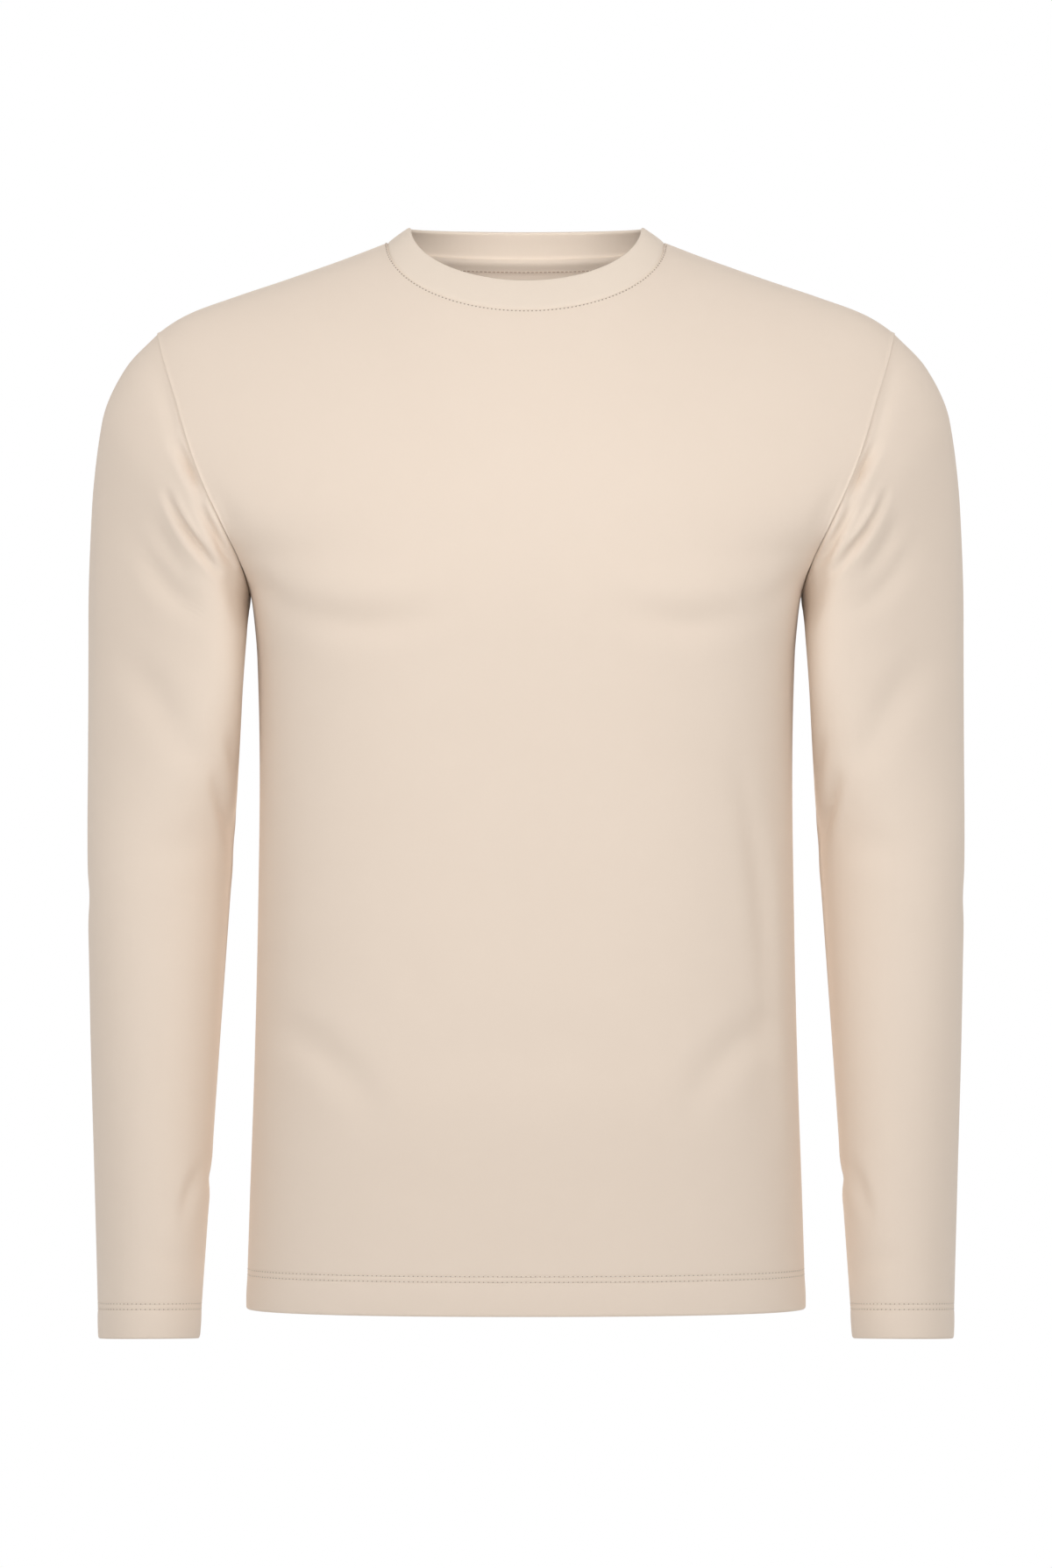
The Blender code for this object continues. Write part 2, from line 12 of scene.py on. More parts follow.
import bpy
import numpy as np
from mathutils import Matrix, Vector


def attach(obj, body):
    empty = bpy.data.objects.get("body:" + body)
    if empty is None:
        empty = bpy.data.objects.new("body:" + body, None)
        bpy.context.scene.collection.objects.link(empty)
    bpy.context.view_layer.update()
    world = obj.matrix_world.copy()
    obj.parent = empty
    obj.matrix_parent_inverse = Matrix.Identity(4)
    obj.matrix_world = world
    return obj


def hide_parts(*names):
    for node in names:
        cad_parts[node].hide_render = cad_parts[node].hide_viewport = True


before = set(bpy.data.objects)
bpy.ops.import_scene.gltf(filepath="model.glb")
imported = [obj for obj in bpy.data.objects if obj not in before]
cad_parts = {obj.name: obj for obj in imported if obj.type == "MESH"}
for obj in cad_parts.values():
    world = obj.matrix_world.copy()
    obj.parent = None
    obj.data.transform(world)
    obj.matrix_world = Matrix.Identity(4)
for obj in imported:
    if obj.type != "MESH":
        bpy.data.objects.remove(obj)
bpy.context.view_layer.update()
print("solids:", ", ".join(sorted(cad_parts)))

# %% [markdown]
# ## Camera
#
# A shop picture of a shirt is taken from far away with a long lens, so that near and far parts of it
# have nearly the same scale. The camera stands 6 m in front, level with the middle of the shirt. The
# lens is worked out from how much the picture shows: 1.02 m from top to bottom.

# %% Place the camera
CAMERA_DISTANCE = 6.0
CAMERA_HEIGHT = -0.352
FRAME_HEIGHT = 1.0197
SENSOR = 36.0

camera_data = bpy.data.cameras.new("camera")
camera_data.sensor_width = SENSOR
camera_data.lens = SENSOR * CAMERA_DISTANCE / FRAME_HEIGHT
camera_data.clip_end = 50.0
camera = bpy.data.objects.new("camera", camera_data)
camera.location = (0.0, -CAMERA_DISTANCE, CAMERA_HEIGHT)
camera.rotation_euler = (math.pi / 2, 0.0, 0.0)
bpy.context.scene.collection.objects.link(camera)
bpy.context.scene.camera = camera
print("lens", round(camera_data.lens, 1), "mm")

# %% [markdown]
# ## Light
#
# Pale cloth on a white background needs soft light from nearly everywhere, or its folds turn harsh.
# The world gives the glow, and more of it from behind, as a white wall would, which lights the edges.
# One large lamp in front, above the line of sight, makes the chest brighter than the sides and the
# hem. A soft box on each side of it lights the sleeves from the front, and one more behind the shirt
# shows the folds of the back.
# The inside of the neck is dark on an empty shirt, so a studio lights it by itself: a small lamp
# hangs inside the collar. Two weak strips, back to back in the gap between each sleeve and the body,
# light both sides of the gap, as a white card does there. The camera sees the world as pure white.

# %% Light the studio
GLOW_FRONT, GLOW_BACK = 0.26, 0.90
KEY_POWER = 6.3
KEY_SIZE = 1.3
KEY_PLACE = (0.0, -1.62, 0.42)
KEY_TARGET = (0.0, 0.0, -0.22)
SIDE_POWER = 7.3
SIDE_SIZE = 0.8
SIDE_TALLNESS = 1.5
SIDE_PLACE = (0.80, -1.20, 0.14)
SIDE_TARGET = (0.0, 0.0, -0.30)
BACK_POWER = 9.0
BACK_PLACE = (0.0, 1.70, 0.45)
COLLAR_POWER = 0.031
COLLAR_PLACE = (0.0, 0.0, -0.045)
COLLAR_TARGET = (0.0, 0.070, -0.042)
COLLAR_SIZE = (0.07, 0.03)
GAP_POWER = 0.0042
GAP_PLACE = (0.1876, -0.012, -0.510)
GAP_SIZE = (0.004, 0.34)
GAP_SLANT = 0.0465  # how far up the strip that faces out looks, because the sleeve slants outwards
WHITE = (1.0, 1.0, 1.0, 1.0)

world = bpy.data.worlds.new("studio")
bpy.context.scene.world = world
world.use_nodes = True
nodes, links = world.node_tree.nodes, world.node_tree.links
nodes.clear()
seen, glow = nodes.new("ShaderNodeBackground"), nodes.new("ShaderNodeBackground")
seen.inputs["Strength"].default_value = 1.0
seen.inputs["Color"].default_value = WHITE
glow.inputs["Color"].default_value = WHITE
way, split = nodes.new("ShaderNodeTexCoord"), nodes.new("ShaderNodeSeparateXYZ")
strength = nodes.new("ShaderNodeMapRange")
strength.inputs["From Min"].default_value = -1.0
strength.inputs["To Min"].default_value = GLOW_FRONT
strength.inputs["To Max"].default_value = GLOW_BACK
links.new(way.outputs["Generated"], split.inputs["Vector"])
links.new(split.outputs["Y"], strength.inputs["Value"])
links.new(strength.outputs["Result"], glow.inputs["Strength"])
path, choose = nodes.new("ShaderNodeLightPath"), nodes.new("ShaderNodeMixShader")
out = nodes.new("ShaderNodeOutputWorld")
links.new(path.outputs["Is Camera Ray"], choose.inputs["Fac"])
links.new(glow.outputs["Background"], choose.inputs[1])
links.new(seen.outputs["Background"], choose.inputs[2])
links.new(choose.outputs["Shader"], out.inputs["Surface"])


def area_lamp(name, place, target, power, width, height):
    """A soft lamp that the camera doesn't see, turned towards a point."""
    data = bpy.data.lights.new(name, "AREA")
    data.shape = "RECTANGLE"
    data.size, data.size_y = width, height
    data.energy = power
    lamp = bpy.data.objects.new(name, data)
    lamp.location = place
    lamp.rotation_euler = (Vector(target) - Vector(place)).to_track_quat("-Z", "Y").to_euler()
    lamp.visible_camera = False
    bpy.context.scene.collection.objects.link(lamp)


area_lamp("key", KEY_PLACE, KEY_TARGET, KEY_POWER, KEY_SIZE, KEY_SIZE)
for name, sign in (("left box", 1), ("right box", -1)):
    place = (sign * SIDE_PLACE[0],) + SIDE_PLACE[1:]
    area_lamp(name, place, SIDE_TARGET, SIDE_POWER, SIDE_SIZE, SIDE_SIZE * SIDE_TALLNESS)
area_lamp("back box", BACK_PLACE, SIDE_TARGET, BACK_POWER, SIDE_SIZE, SIDE_SIZE)
area_lamp("collar lamp", COLLAR_PLACE, COLLAR_TARGET, COLLAR_POWER, *COLLAR_SIZE)
x, y, z = GAP_PLACE
for sign in (1, -1):
    for name, way, power in (("gap strip out", 1, GAP_POWER), ("gap strip in", -1, GAP_POWER / 2)):
        target = (sign * (x + way), y, z + way * GAP_SLANT)
        area_lamp(name, (sign * x, y, z), target, power, *GAP_SIZE)
bpy.context.scene.view_settings.view_transform = "Standard"
print("glow", GLOW_FRONT, "to", GLOW_BACK, "key", KEY_POWER, "W, collar", COLLAR_POWER, "W")

# %% [markdown]
# ## Floor
#
# The shirt hangs in the air, as it does on an invisible wearer, so the floor lies well below it and
# outside the main picture. It shows in views from above, and throws a little light back up.

# %% Make the floor
FLOOR_HEIGHT, FLOOR_RADIUS = -1.25, 1.3
FLOOR_COLOUR, FLOOR_ROUGHNESS = (0.88, 0.88, 0.88, 1.0), 0.8

bpy.ops.object.select_all(action="DESELECT")
bpy.ops.mesh.primitive_circle_add(
    vertices=96, radius=FLOOR_RADIUS, fill_type="NGON", location=(0.0, 0.0, FLOOR_HEIGHT)
)
floor = bpy.context.object
floor.name = "floor"
bpy.ops.object.transform_apply(location=True, rotation=True, scale=True)
floor_paint = bpy.data.materials.new("pale floor")
floor_paint.use_nodes = True
floor_shader = floor_paint.node_tree.nodes["Principled BSDF"]
floor_shader.inputs["Base Color"].default_value = FLOOR_COLOUR
floor_shader.inputs["Roughness"].default_value = FLOOR_ROUGHNESS
floor.data.materials.append(floor_paint)
print("floor at", FLOOR_HEIGHT)

# %% [markdown]
# ## The shirt's measures
#
# The cloth follows the same sizes as the solids that it replaces. A pattern maker would write them
# as a size table. Each row here is a level of the body, a point of the shoulder line, a point of the
# armhole or a ring of the sleeve.

# %% Sizes of the body, armhole and sleeve
NECK_HALF_WIDTH = 0.090
NECK_DROP = {"front": 0.0468, "back": 0.006}
HEM_CENTRE, HEM_SIDE = -0.6919, -0.6916
SHOULDER_ROUNDING = 0.190
ARMPIT, SHOULDER_TIP = -0.228, -0.0595  # heights of the armhole's ends
ARMPIT_REACH, SHOULDER_REACH = 0.1790, 0.2395  # and how far from the centre they are

BodySection = namedtuple("BodySection", "height half_width front back squareness")
BODY = (
    BodySection(-0.7000, 0.1820, 0.0992, 0.1065, 2.35),
    BodySection(-0.6200, 0.1794, 0.1062, 0.1050, 2.35),
    BodySection(-0.5400, 0.1766, 0.1130, 0.0970, 2.35),
    BodySection(-0.4400, 0.1742, 0.1125, 0.0890, 2.40),
    BodySection(-0.3450, 0.1730, 0.1150, 0.0930, 2.45),
    BodySection(-0.2700, 0.1745, 0.1205, 0.1050, 2.60),
    BodySection(-0.2500, 0.1760, 0.1222, 0.1090, 2.75),
    BodySection(ARMPIT, ARMPIT_REACH, 0.1230, 0.1120, 2.90),
    BodySection(-0.2050, 0.1970, 0.1222, 0.1145, 2.45),
    BodySection(-0.1800, 0.2380, 0.1195, 0.1163, 2.15),
    BodySection(-0.1550, 0.2620, 0.1150, 0.1170, 2.10),
    BodySection(-0.1300, 0.2750, 0.1095, 0.1172, 2.10),
    BodySection(-0.1000, 0.2820, 0.1030, 0.1180, 2.10),
    BodySection(-0.0600, 0.2850, 0.0945, 0.1215, 2.10),
    BodySection(-0.0100, 0.2860, 0.0860, 0.1220, 2.10),
    BodySection(0.0400, 0.2860, 0.0840, 0.1220, 2.10),
)
ShoulderPoint = namedtuple("ShoulderPoint", "across height")
SHOULDER = (
    ShoulderPoint(-0.0450, 0.0172),
    ShoulderPoint(0.0000, 0.0240),
    ShoulderPoint(0.0450, 0.0172),
    ShoulderPoint(NECK_HALF_WIDTH, 0.0000),
    ShoulderPoint(0.1090, -0.0074),
    ShoulderPoint(0.1245, -0.0131),
    ShoulderPoint(0.1570, -0.0245),
    ShoulderPoint(0.1910, -0.0359),
    ShoulderPoint(0.2210, -0.0473),
    ShoulderPoint(SHOULDER_REACH, SHOULDER_TIP),
    ShoulderPoint(0.2620, -0.0850),
)
ArmholePoint = namedtuple("ArmholePoint", "height front back")
ARMHOLE = (
    ArmholePoint(ARMPIT, ARMPIT_REACH, ARMPIT_REACH),
    ArmholePoint(-0.2262, 0.1791, 0.1791),
    ArmholePoint(-0.2207, 0.1803, 0.1803),
    ArmholePoint(-0.2120, 0.1833, 0.1831),
    ArmholePoint(-0.2065, 0.1853, 0.1849),
    ArmholePoint(-0.1820, 0.1967, 0.1935),
    ArmholePoint(-0.1570, 0.2086, 0.2035),
    ArmholePoint(-0.1330, 0.2178, 0.2125),
    ArmholePoint(-0.1040, 0.2265, 0.2225),
    ArmholePoint(-0.0830, 0.2333, 0.2300),
    ArmholePoint(SHOULDER_TIP, SHOULDER_REACH, SHOULDER_REACH),
)
SleeveSection = namedtuple("SleeveSection", "outer_x outer_z inner_x inner_z front back turn lift")
CUFF_END, CUFF_DEPTH = -0.7113, 0.0195
CUFF_TOP = CUFF_END + CUFF_DEPTH
SLEEVE = (
    SleeveSection(SHOULDER_REACH, SHOULDER_TIP, ARMPIT_REACH, ARMPIT, 0.0560, 0.0555, 0.000, 0.0),
    SleeveSection(0.2602, -0.0815, 0.1793, -0.2350, 0.0568, 0.0560, 0.009, 0.0),
    SleeveSection(0.2762, -0.1157, 0.1798, -0.2440, 0.0580, 0.0570, 0.019, 0.0),
    SleeveSection(0.2833, -0.1727, 0.1808, -0.2580, 0.0595, 0.0580, 0.026, 0.0),
    SleeveSection(0.2858, -0.2450, 0.1826, -0.2830, 0.0600, 0.0590, 0.025, 0.0),
    SleeveSection(0.2855, -0.3300, 0.1858, -0.3330, 0.0560, 0.0585, 0.013, 0.0),
    SleeveSection(0.2848, -0.4000, 0.1906, -0.4000, 0.0495, 0.0565, -0.003, 0.0),
    SleeveSection(0.2834, -0.5000, 0.1976, -0.5000, 0.0485, 0.0460, 0.000, 0.0),
    SleeveSection(0.2804, -0.6200, 0.2057, -0.6200, 0.0475, 0.0320, 0.003, 0.0004),
    SleeveSection(0.2784, CUFF_TOP, 0.2107, CUFF_TOP, 0.0465, 0.0255, 0.001, 0.0020),
    SleeveSection(0.2780, CUFF_END, 0.2120, CUFF_END, 0.0460, 0.0250, 0.000, 0.0022),
)
print("levels", len(BODY), "armhole points", len(ARMHOLE), "sleeve rings", len(SLEEVE))

# %% [markdown]
# ## One smooth curve through a column of the table
#
# A table gives a size at a few levels only. Between them the cloth runs smoothly and never bulges
# past the sizes, so the curve is a monotone cubic: it looks at the slopes on both sides of a point
# and takes none where they disagree.

# %% Curves from the tables


def through(knots, values):
    """A smooth curve through the values that never overshoots them, as a function of an array."""
    knots, values = np.asarray(knots, float), np.asarray(values, float)
    step = np.diff(knots)
    slope = np.diff(values) / step
    bend = np.concatenate([slope[:1], np.zeros(len(slope) - 1), slope[-1:]])
    for i in range(1, len(slope)):
        if slope[i - 1] * slope[i] > 0:
            before, after = 2 * step[i] + step[i - 1], step[i] + 2 * step[i - 1]
            bend[i] = (before + after) / (before / slope[i - 1] + after / slope[i])

    def at(place):
        place = np.clip(place, knots[0], knots[-1])
        i = np.clip(np.searchsorted(knots, place) - 1, 0, len(step) - 1)
        t = (place - knots[i]) / step[i]
        return (
            values[i] * (1 + 2 * t) * (1 - t) ** 2
            + values[i + 1] * t * t * (3 - 2 * t)
            + step[i] * t * (1 - t) * (bend[i] * (1 - t) - bend[i + 1] * t)
        )

    return at


def column(table, knot, value):
    """The smooth curve through one column of a table, over another of its columns."""
    return through([getattr(r, knot) for r in table], [getattr(r, value) for r in table])


half_width_at = column(BODY, "height", "half_width")
reach_at = {side: column(BODY, "height", side) for side in ("front", "back")}
squareness_at = column(BODY, "height", "squareness")
shoulder_at = column(SHOULDER, "across", "height")
armhole_at = {side: column(ARMHOLE, "height", side) for side in ("front", "back")}
OUTWARD = {"front": -1.0, "back": 1.0}
print("half width at the chest", round(float(half_width_at(-0.25)), 4))

# %% [markdown]
# ## The body's surface
#
# Seen from above, the body is a soft oval. Towards the shoulder it turns over from front to back in
# a quarter circle. One formula gives how far the cloth stands in front of or behind the side seam,
# for any place in the front view.

# %% Depth of the body's cloth


def body_depth(across, height, side):
    """Y of the body's cloth at places in the front view."""
    across = np.abs(across)
    squareness = squareness_at(height)
    share = np.clip(across / half_width_at(height), 0.0, 1.0)
    section = (1.0 - share**squareness) ** (1.0 / squareness)
    drop = np.clip((shoulder_at(across) - height) / SHOULDER_ROUNDING, 0.0, 1.0)
    return OUTWARD[side] * reach_at[side](height) * section * np.sqrt(1.0 - (1.0 - drop) ** 2)


def hem_height(share):
    """Height of the hem's fold, at a share of the width from the centre to the side."""
    return HEM_SIDE + (HEM_CENTRE - HEM_SIDE) * (1.0 - share**2)


chest_depth = -float(body_depth(0.0, -0.25, "front"))
print("chest stands", round(chest_depth * 1000), "mm in front of its sides")

# %% [markdown]
# ## A fine grid for a body panel
#
# Cloth needs a far finer mesh than a solid, so that creases and the rolled seams show. The grid has
# its rows about 4 mm apart, and closer at the hem, the neck and the seams. Below the armpit a row
# runs round to the side seam. Above it, a row runs from the centre line to the armhole.

# %% Rows and columns of a panel
NECK_SHARE = 0.44  # share of a row that lies under the neck
NECK_COLUMNS, SHOULDER_COLUMNS = 26, 34
EDGE_CROWDING = 1.75  # how far the columns crowd towards the side seam and the armhole
ARMHOLE_STEPS = 60
HEM_TURN = 0.0245  # width of the hem's turning
NEEDLE_ROWS = (0.0212, 0.0248)  # heights of the two needle rows above the fold
FOLD_ROWS = (0.0, 0.0006, 0.0014, 0.0026, 0.0045, 0.0070, 0.0100, 0.0130, 0.0160)
BESIDE_NEEDLE = (-0.0011, -0.0005, 0.0, 0.0005, 0.0011)
ABOVE_NEEDLE = 0.0032  # where the even rows start
BODY_STEP = 0.0042
ROUND_SAMPLES = 500
NECK_CROWDING = 1.6  # how far the rows crowd towards the neck
ARM_PULL = 1.5  # how late along a row the armhole's own spacing takes over


def column_shares():
    """Where the columns lie, as shares of a row, from the centre to the side."""
    neck = np.linspace(0.0, NECK_SHARE, NECK_COLUMNS + 1)
    side = 1.0 - (1.0 - np.linspace(0.0, 1.0, SHOULDER_COLUMNS + 1)[1:]) ** EDGE_CROWDING
    return np.concatenate([neck, NECK_SHARE + side * (1.0 - NECK_SHARE)])


def heights_above_fold(length, needle_rows):
    """Where the rows lie above a turned edge: close at the fold and at the stitches."""
    close = list(FOLD_ROWS) + [row + beside for row in needle_rows for beside in BESIDE_NEEDLE]
    start = needle_rows[-1] + ABOVE_NEEDLE
    count = int(round((length - start) / BODY_STEP))
    return np.array(close + list(np.linspace(start, length, count + 1)))


def running_length(line):
    """How far along a line each of its points lies."""
    return np.concatenate([[0.0], np.cumsum(np.linalg.norm(np.diff(line, axis=0), axis=1))])


def read_along(places, run, values):
    """Values of a line's points, read at places that are lengths along it."""
    return np.stack([np.interp(places, run, values[:, i]) for i in range(3)], axis=1)


def lower_rows(side, shares):
    """Rows from the hem to the armpit. Each is an array of X and Z, evenly spaced round the body."""
    share = np.sin(np.linspace(0.0, math.pi / 2, ROUND_SAMPLES))
    ways = heights_above_fold(ARMPIT - HEM_CENTRE, NEEDLE_ROWS) / (ARMPIT - HEM_CENTRE)
    rows = []
    for way in ways:
        height = hem_height(share) * (1 - way) + ARMPIT * way
        across = share * half_width_at(height)
        line = np.stack([across, body_depth(across, height, side), height], axis=1)
        run = running_length(line)
        rows.append(read_along(shares * run[-1], run, line)[:, [0, 2]])
    return rows


def top_row(side, shares):
    """Neckline and shoulder seam of a panel in the front view."""
    turn = np.clip(shares / NECK_SHARE, 0.0, 1.0) * math.pi / 2
    beyond = np.clip((shares - NECK_SHARE) / (1.0 - NECK_SHARE), 0.0, 1.0)
    across = NECK_HALF_WIDTH * np.sin(turn) + beyond * (SHOULDER_REACH - NECK_HALF_WIDTH)
    height = np.where(beyond > 0, shoulder_at(across), -NECK_DROP[side] * np.cos(turn))
    return np.stack([across, height], axis=1)


def upper_rows(side, shares, bottom, top):
    """Rows from the armpit to the neck and shoulder, blended between the four edges of that area."""
    rows = []
    centre_top = top[0, 1]
    for w in np.linspace(0.0, 1.0, ARMHOLE_STEPS + 1)[1:-1]:
        even = 1.0 - (1.0 - w) ** NECK_CROWDING
        arm = (1.0 - math.cos(math.pi * w)) / 2
        v = even + (arm - even) * shares**ARM_PULL
        arm_z = ARMPIT + (SHOULDER_TIP - ARMPIT) * v
        x = shares * armhole_at[side](arm_z)
        x = x + (1 - v) * (bottom[:, 0] - shares * bottom[-1, 0])
        x = x + v * (top[:, 0] - shares * top[-1, 0])
        z = (1 - shares) * (ARMPIT + (centre_top - ARMPIT) * v) + shares * arm_z
        z = z + v * (top[:, 1] - (1 - shares) * centre_top - shares * top[-1, 1])
        rows.append(np.stack([x, z], axis=1))
    return rows + [top]


def panel_grid(side):
    """A whole panel as an array of rows, from hem to top, each from the wearer's right to left."""
    shares = column_shares()
    rows = lower_rows(side, shares)
    rows += upper_rows(side, shares, rows[-1], top_row(side, shares))
    places = np.array(rows)
    points = np.empty(places.shape[:2] + (3,))
    points[..., 0], points[..., 2] = places[..., 0], places[..., 1]
    points[..., 1] = body_depth(points[..., 0], points[..., 2], side)
    mirrored = points[:, :0:-1] * np.array([-1.0, 1.0, 1.0])
    return np.concatenate([mirrored, points], axis=1)


grids = {side: panel_grid(side) for side in ("front", "back")}
print({side: grid.shape for side, grid in grids.items()})

# %% [markdown]
# ## A fine grid for a sleeve
#
# A sleeve starts in the shape of the armhole and becomes a plain oval tube within a hand's width. It
# is a stack of rings between armhole and cuff. Each ring hangs between an outer and an inner point,
# which draw the sleeve's outline in the front view. An upper arm is fuller towards the body, so the
# front of the upper rings leans towards the inner side, and the lean fades out down to the elbow.

# %% Rings of a sleeve
SLEEVE_SIDES = 2 * 78
ARMHOLE_ROWS = (0.0, 0.0007, 0.0016, 0.0028, 0.0046, 0.0075)
FOLDS_START, FOLDS_END, FOLD_STEP = 0.0105, 0.225, 0.0024  # rows are close where the folds are
CUFF_NEEDLE_ROWS = (0.0181, 0.0217)
CUFF_TURN = 0.0215
CAP_ROWS = 3  # rows of the table over which the armhole's shape becomes an oval
SLEEVE_OVAL = 0.92
SLEEVE_LEAN = 0.24
LEAN_END, LEAN_FADE = -0.42, 0.14  # the inner height where the lean ends, and the height of its fade

sleeve_steps = [
    math.hypot(b.outer_x - a.outer_x, b.outer_z - a.outer_z) for a, b in zip(SLEEVE, SLEEVE[1:])
]
runs = np.concatenate([[0.0], np.cumsum(sleeve_steps)])
sleeve_curve = {
    name: through(runs, [getattr(r, name) for r in SLEEVE]) for name in SleeveSection._fields
}


def armhole_ring(angles):
    """The armhole's seam on the wearer's left: up the front from the armpit, and down the back."""
    ring = np.empty((len(angles), 3))
    ring[:, 2] = ARMPIT + (SHOULDER_TIP - ARMPIT) * (1.0 - np.cos(angles)) / 2
    for side, chosen in (("front", np.sin(angles) >= 0), ("back", np.sin(angles) < 0)):
        ring[chosen, 0] = armhole_at[side](ring[chosen, 2])
        ring[chosen, 1] = body_depth(ring[chosen, 0], ring[chosen, 2], side)
    return ring


def sleeve_runs():
    """Distances of the rings from the shoulder: close at the armhole, even, and as the cuff asks."""
    fine = np.arange(FOLDS_START, FOLDS_END, FOLD_STEP)
    up = heights_above_fold(runs[-1] - fine[-1] - FOLD_STEP, CUFF_NEEDLE_ROWS)
    return np.concatenate([ARMHOLE_ROWS, fine, (runs[-1] - up)[::-1]])


def chord_of(row):
    """A ring's inner point, its width, and the directions along and beside that width."""
    inner = np.array([row["inner_x"], row["inner_z"]])
    chord = np.array([row["outer_x"], row["outer_z"]]) - inner
    width = np.linalg.norm(chord)
    return inner, width, chord / width, np.array([chord[1], -chord[0]]) / width


def sleeve_grid():
    """The wearer's left sleeve, as rings from the cuff up to the armhole."""
    angles = np.arange(SLEEVE_SIDES) * 2 * math.pi / SLEEVE_SIDES
    swing = np.sin(angles)
    seam = armhole_ring(angles)
    inner, width, along, beside = chord_of(SLEEVE[0]._asdict())
    off = seam[:, [0, 2]] - inner
    cut_along, cut_beside = off @ along / width, off @ beside
    rings = []
    for run in sleeve_runs():
        row = {name: float(curve(run)) for name, curve in sleeve_curve.items()}
        inner, width, along, beside = chord_of(row)
        t = min(1.0, run / runs[CAP_ROWS])
        t = t * t * (3 - 2 * t)
        wide = math.sqrt(width**2 - (2 * row["turn"]) ** 2)
        oval = (width - wide * np.cos(angles)) / 2 - row["turn"] * swing
        place = (1 - t) * cut_along * width + t * oval
        flat = inner + place[:, None] * along + ((1 - t) * cut_beside)[:, None] * beside
        lean = SLEEVE_LEAN * min(1.0, max(0.0, (row["inner_z"] - LEAN_END) / LEAN_FADE))
        depth = np.where(swing >= 0, row["front"] * (1.0 + lean * np.cos(angles)), row["back"])
        oval_y = -np.sign(swing) * depth * np.abs(swing) ** SLEEVE_OVAL
        height = flat[:, 1] + row["lift"] * np.abs(swing)
        rings.append(np.stack([flat[:, 0], (1 - t) * seam[:, 1] + t * oval_y, height], axis=1))
    return np.array(rings[::-1])


grids["left_sleeve"] = sleeve_grid()
grids["right_sleeve"] = grids["left_sleeve"][:, ::-1] * np.array([-1.0, 1.0, 1.0])
print("sleeve", grids["left_sleeve"].shape)

# %% [markdown]
# ## Which way the cloth faces
#
# Creases, hems and stitches are all laid off from the surface, so each point needs the direction that
# points out of the shirt. It comes from the two ways that a grid runs. A sleeve is a ring, so its
# last column meets its first.

# %% Normals of a grid
RINGS = {"left_sleeve", "right_sleeve", "neckband"}


def grid_normals(points, ring=False):
    """Directions square to the cloth at the points of a grid, to one side or the other."""
    if ring:
        across = np.roll(points, -1, axis=1) - np.roll(points, 1, axis=1)
    else:
        across = np.gradient(points, axis=1)
    normals = np.cross(across, np.gradient(points, axis=0))
    size = np.linalg.norm(normals, axis=2, keepdims=True)
    return normals / np.maximum(size, 1e-12)


def outward_normals(name):
    """The normals of a piece, turned so that they point out of the shirt."""
    points = grids[name]
    normals = grid_normals(points, name in RINGS)
    row = len(points) // 3
    centre = points[row].mean(axis=0) if name in RINGS else np.array([0.0, 0.0, points[row, 0, 2]])
    if np.sum((points[row] - centre) * normals[row]) < 0:
        normals = -normals
    return normals


facing = {name: outward_normals(name) for name in grids}
rows, columns = facing["front"].shape[:2]
print("front centre faces", np.round(facing["front"][rows // 2, columns // 2], 2))

# %% [markdown]
# ## Creases
#
# Where an arm meets the body, spare cloth gathers in short deep folds that point at the armpit. At
# the elbow it creases inside the bend. On the body it drags in long shallow lines from the hip and
# sags a little under the chest. Each fold is a soft trough along a bowed line, with the cloth that it
# takes up standing in two low ridges beside it. A negative depth makes a ridge of it.
#
# A fold is placed in the view that shows it: front and back give X and Z, inner and outer are the
# sides of a sleeve and give Y and Z. No two are alike, and left and right differ a little.

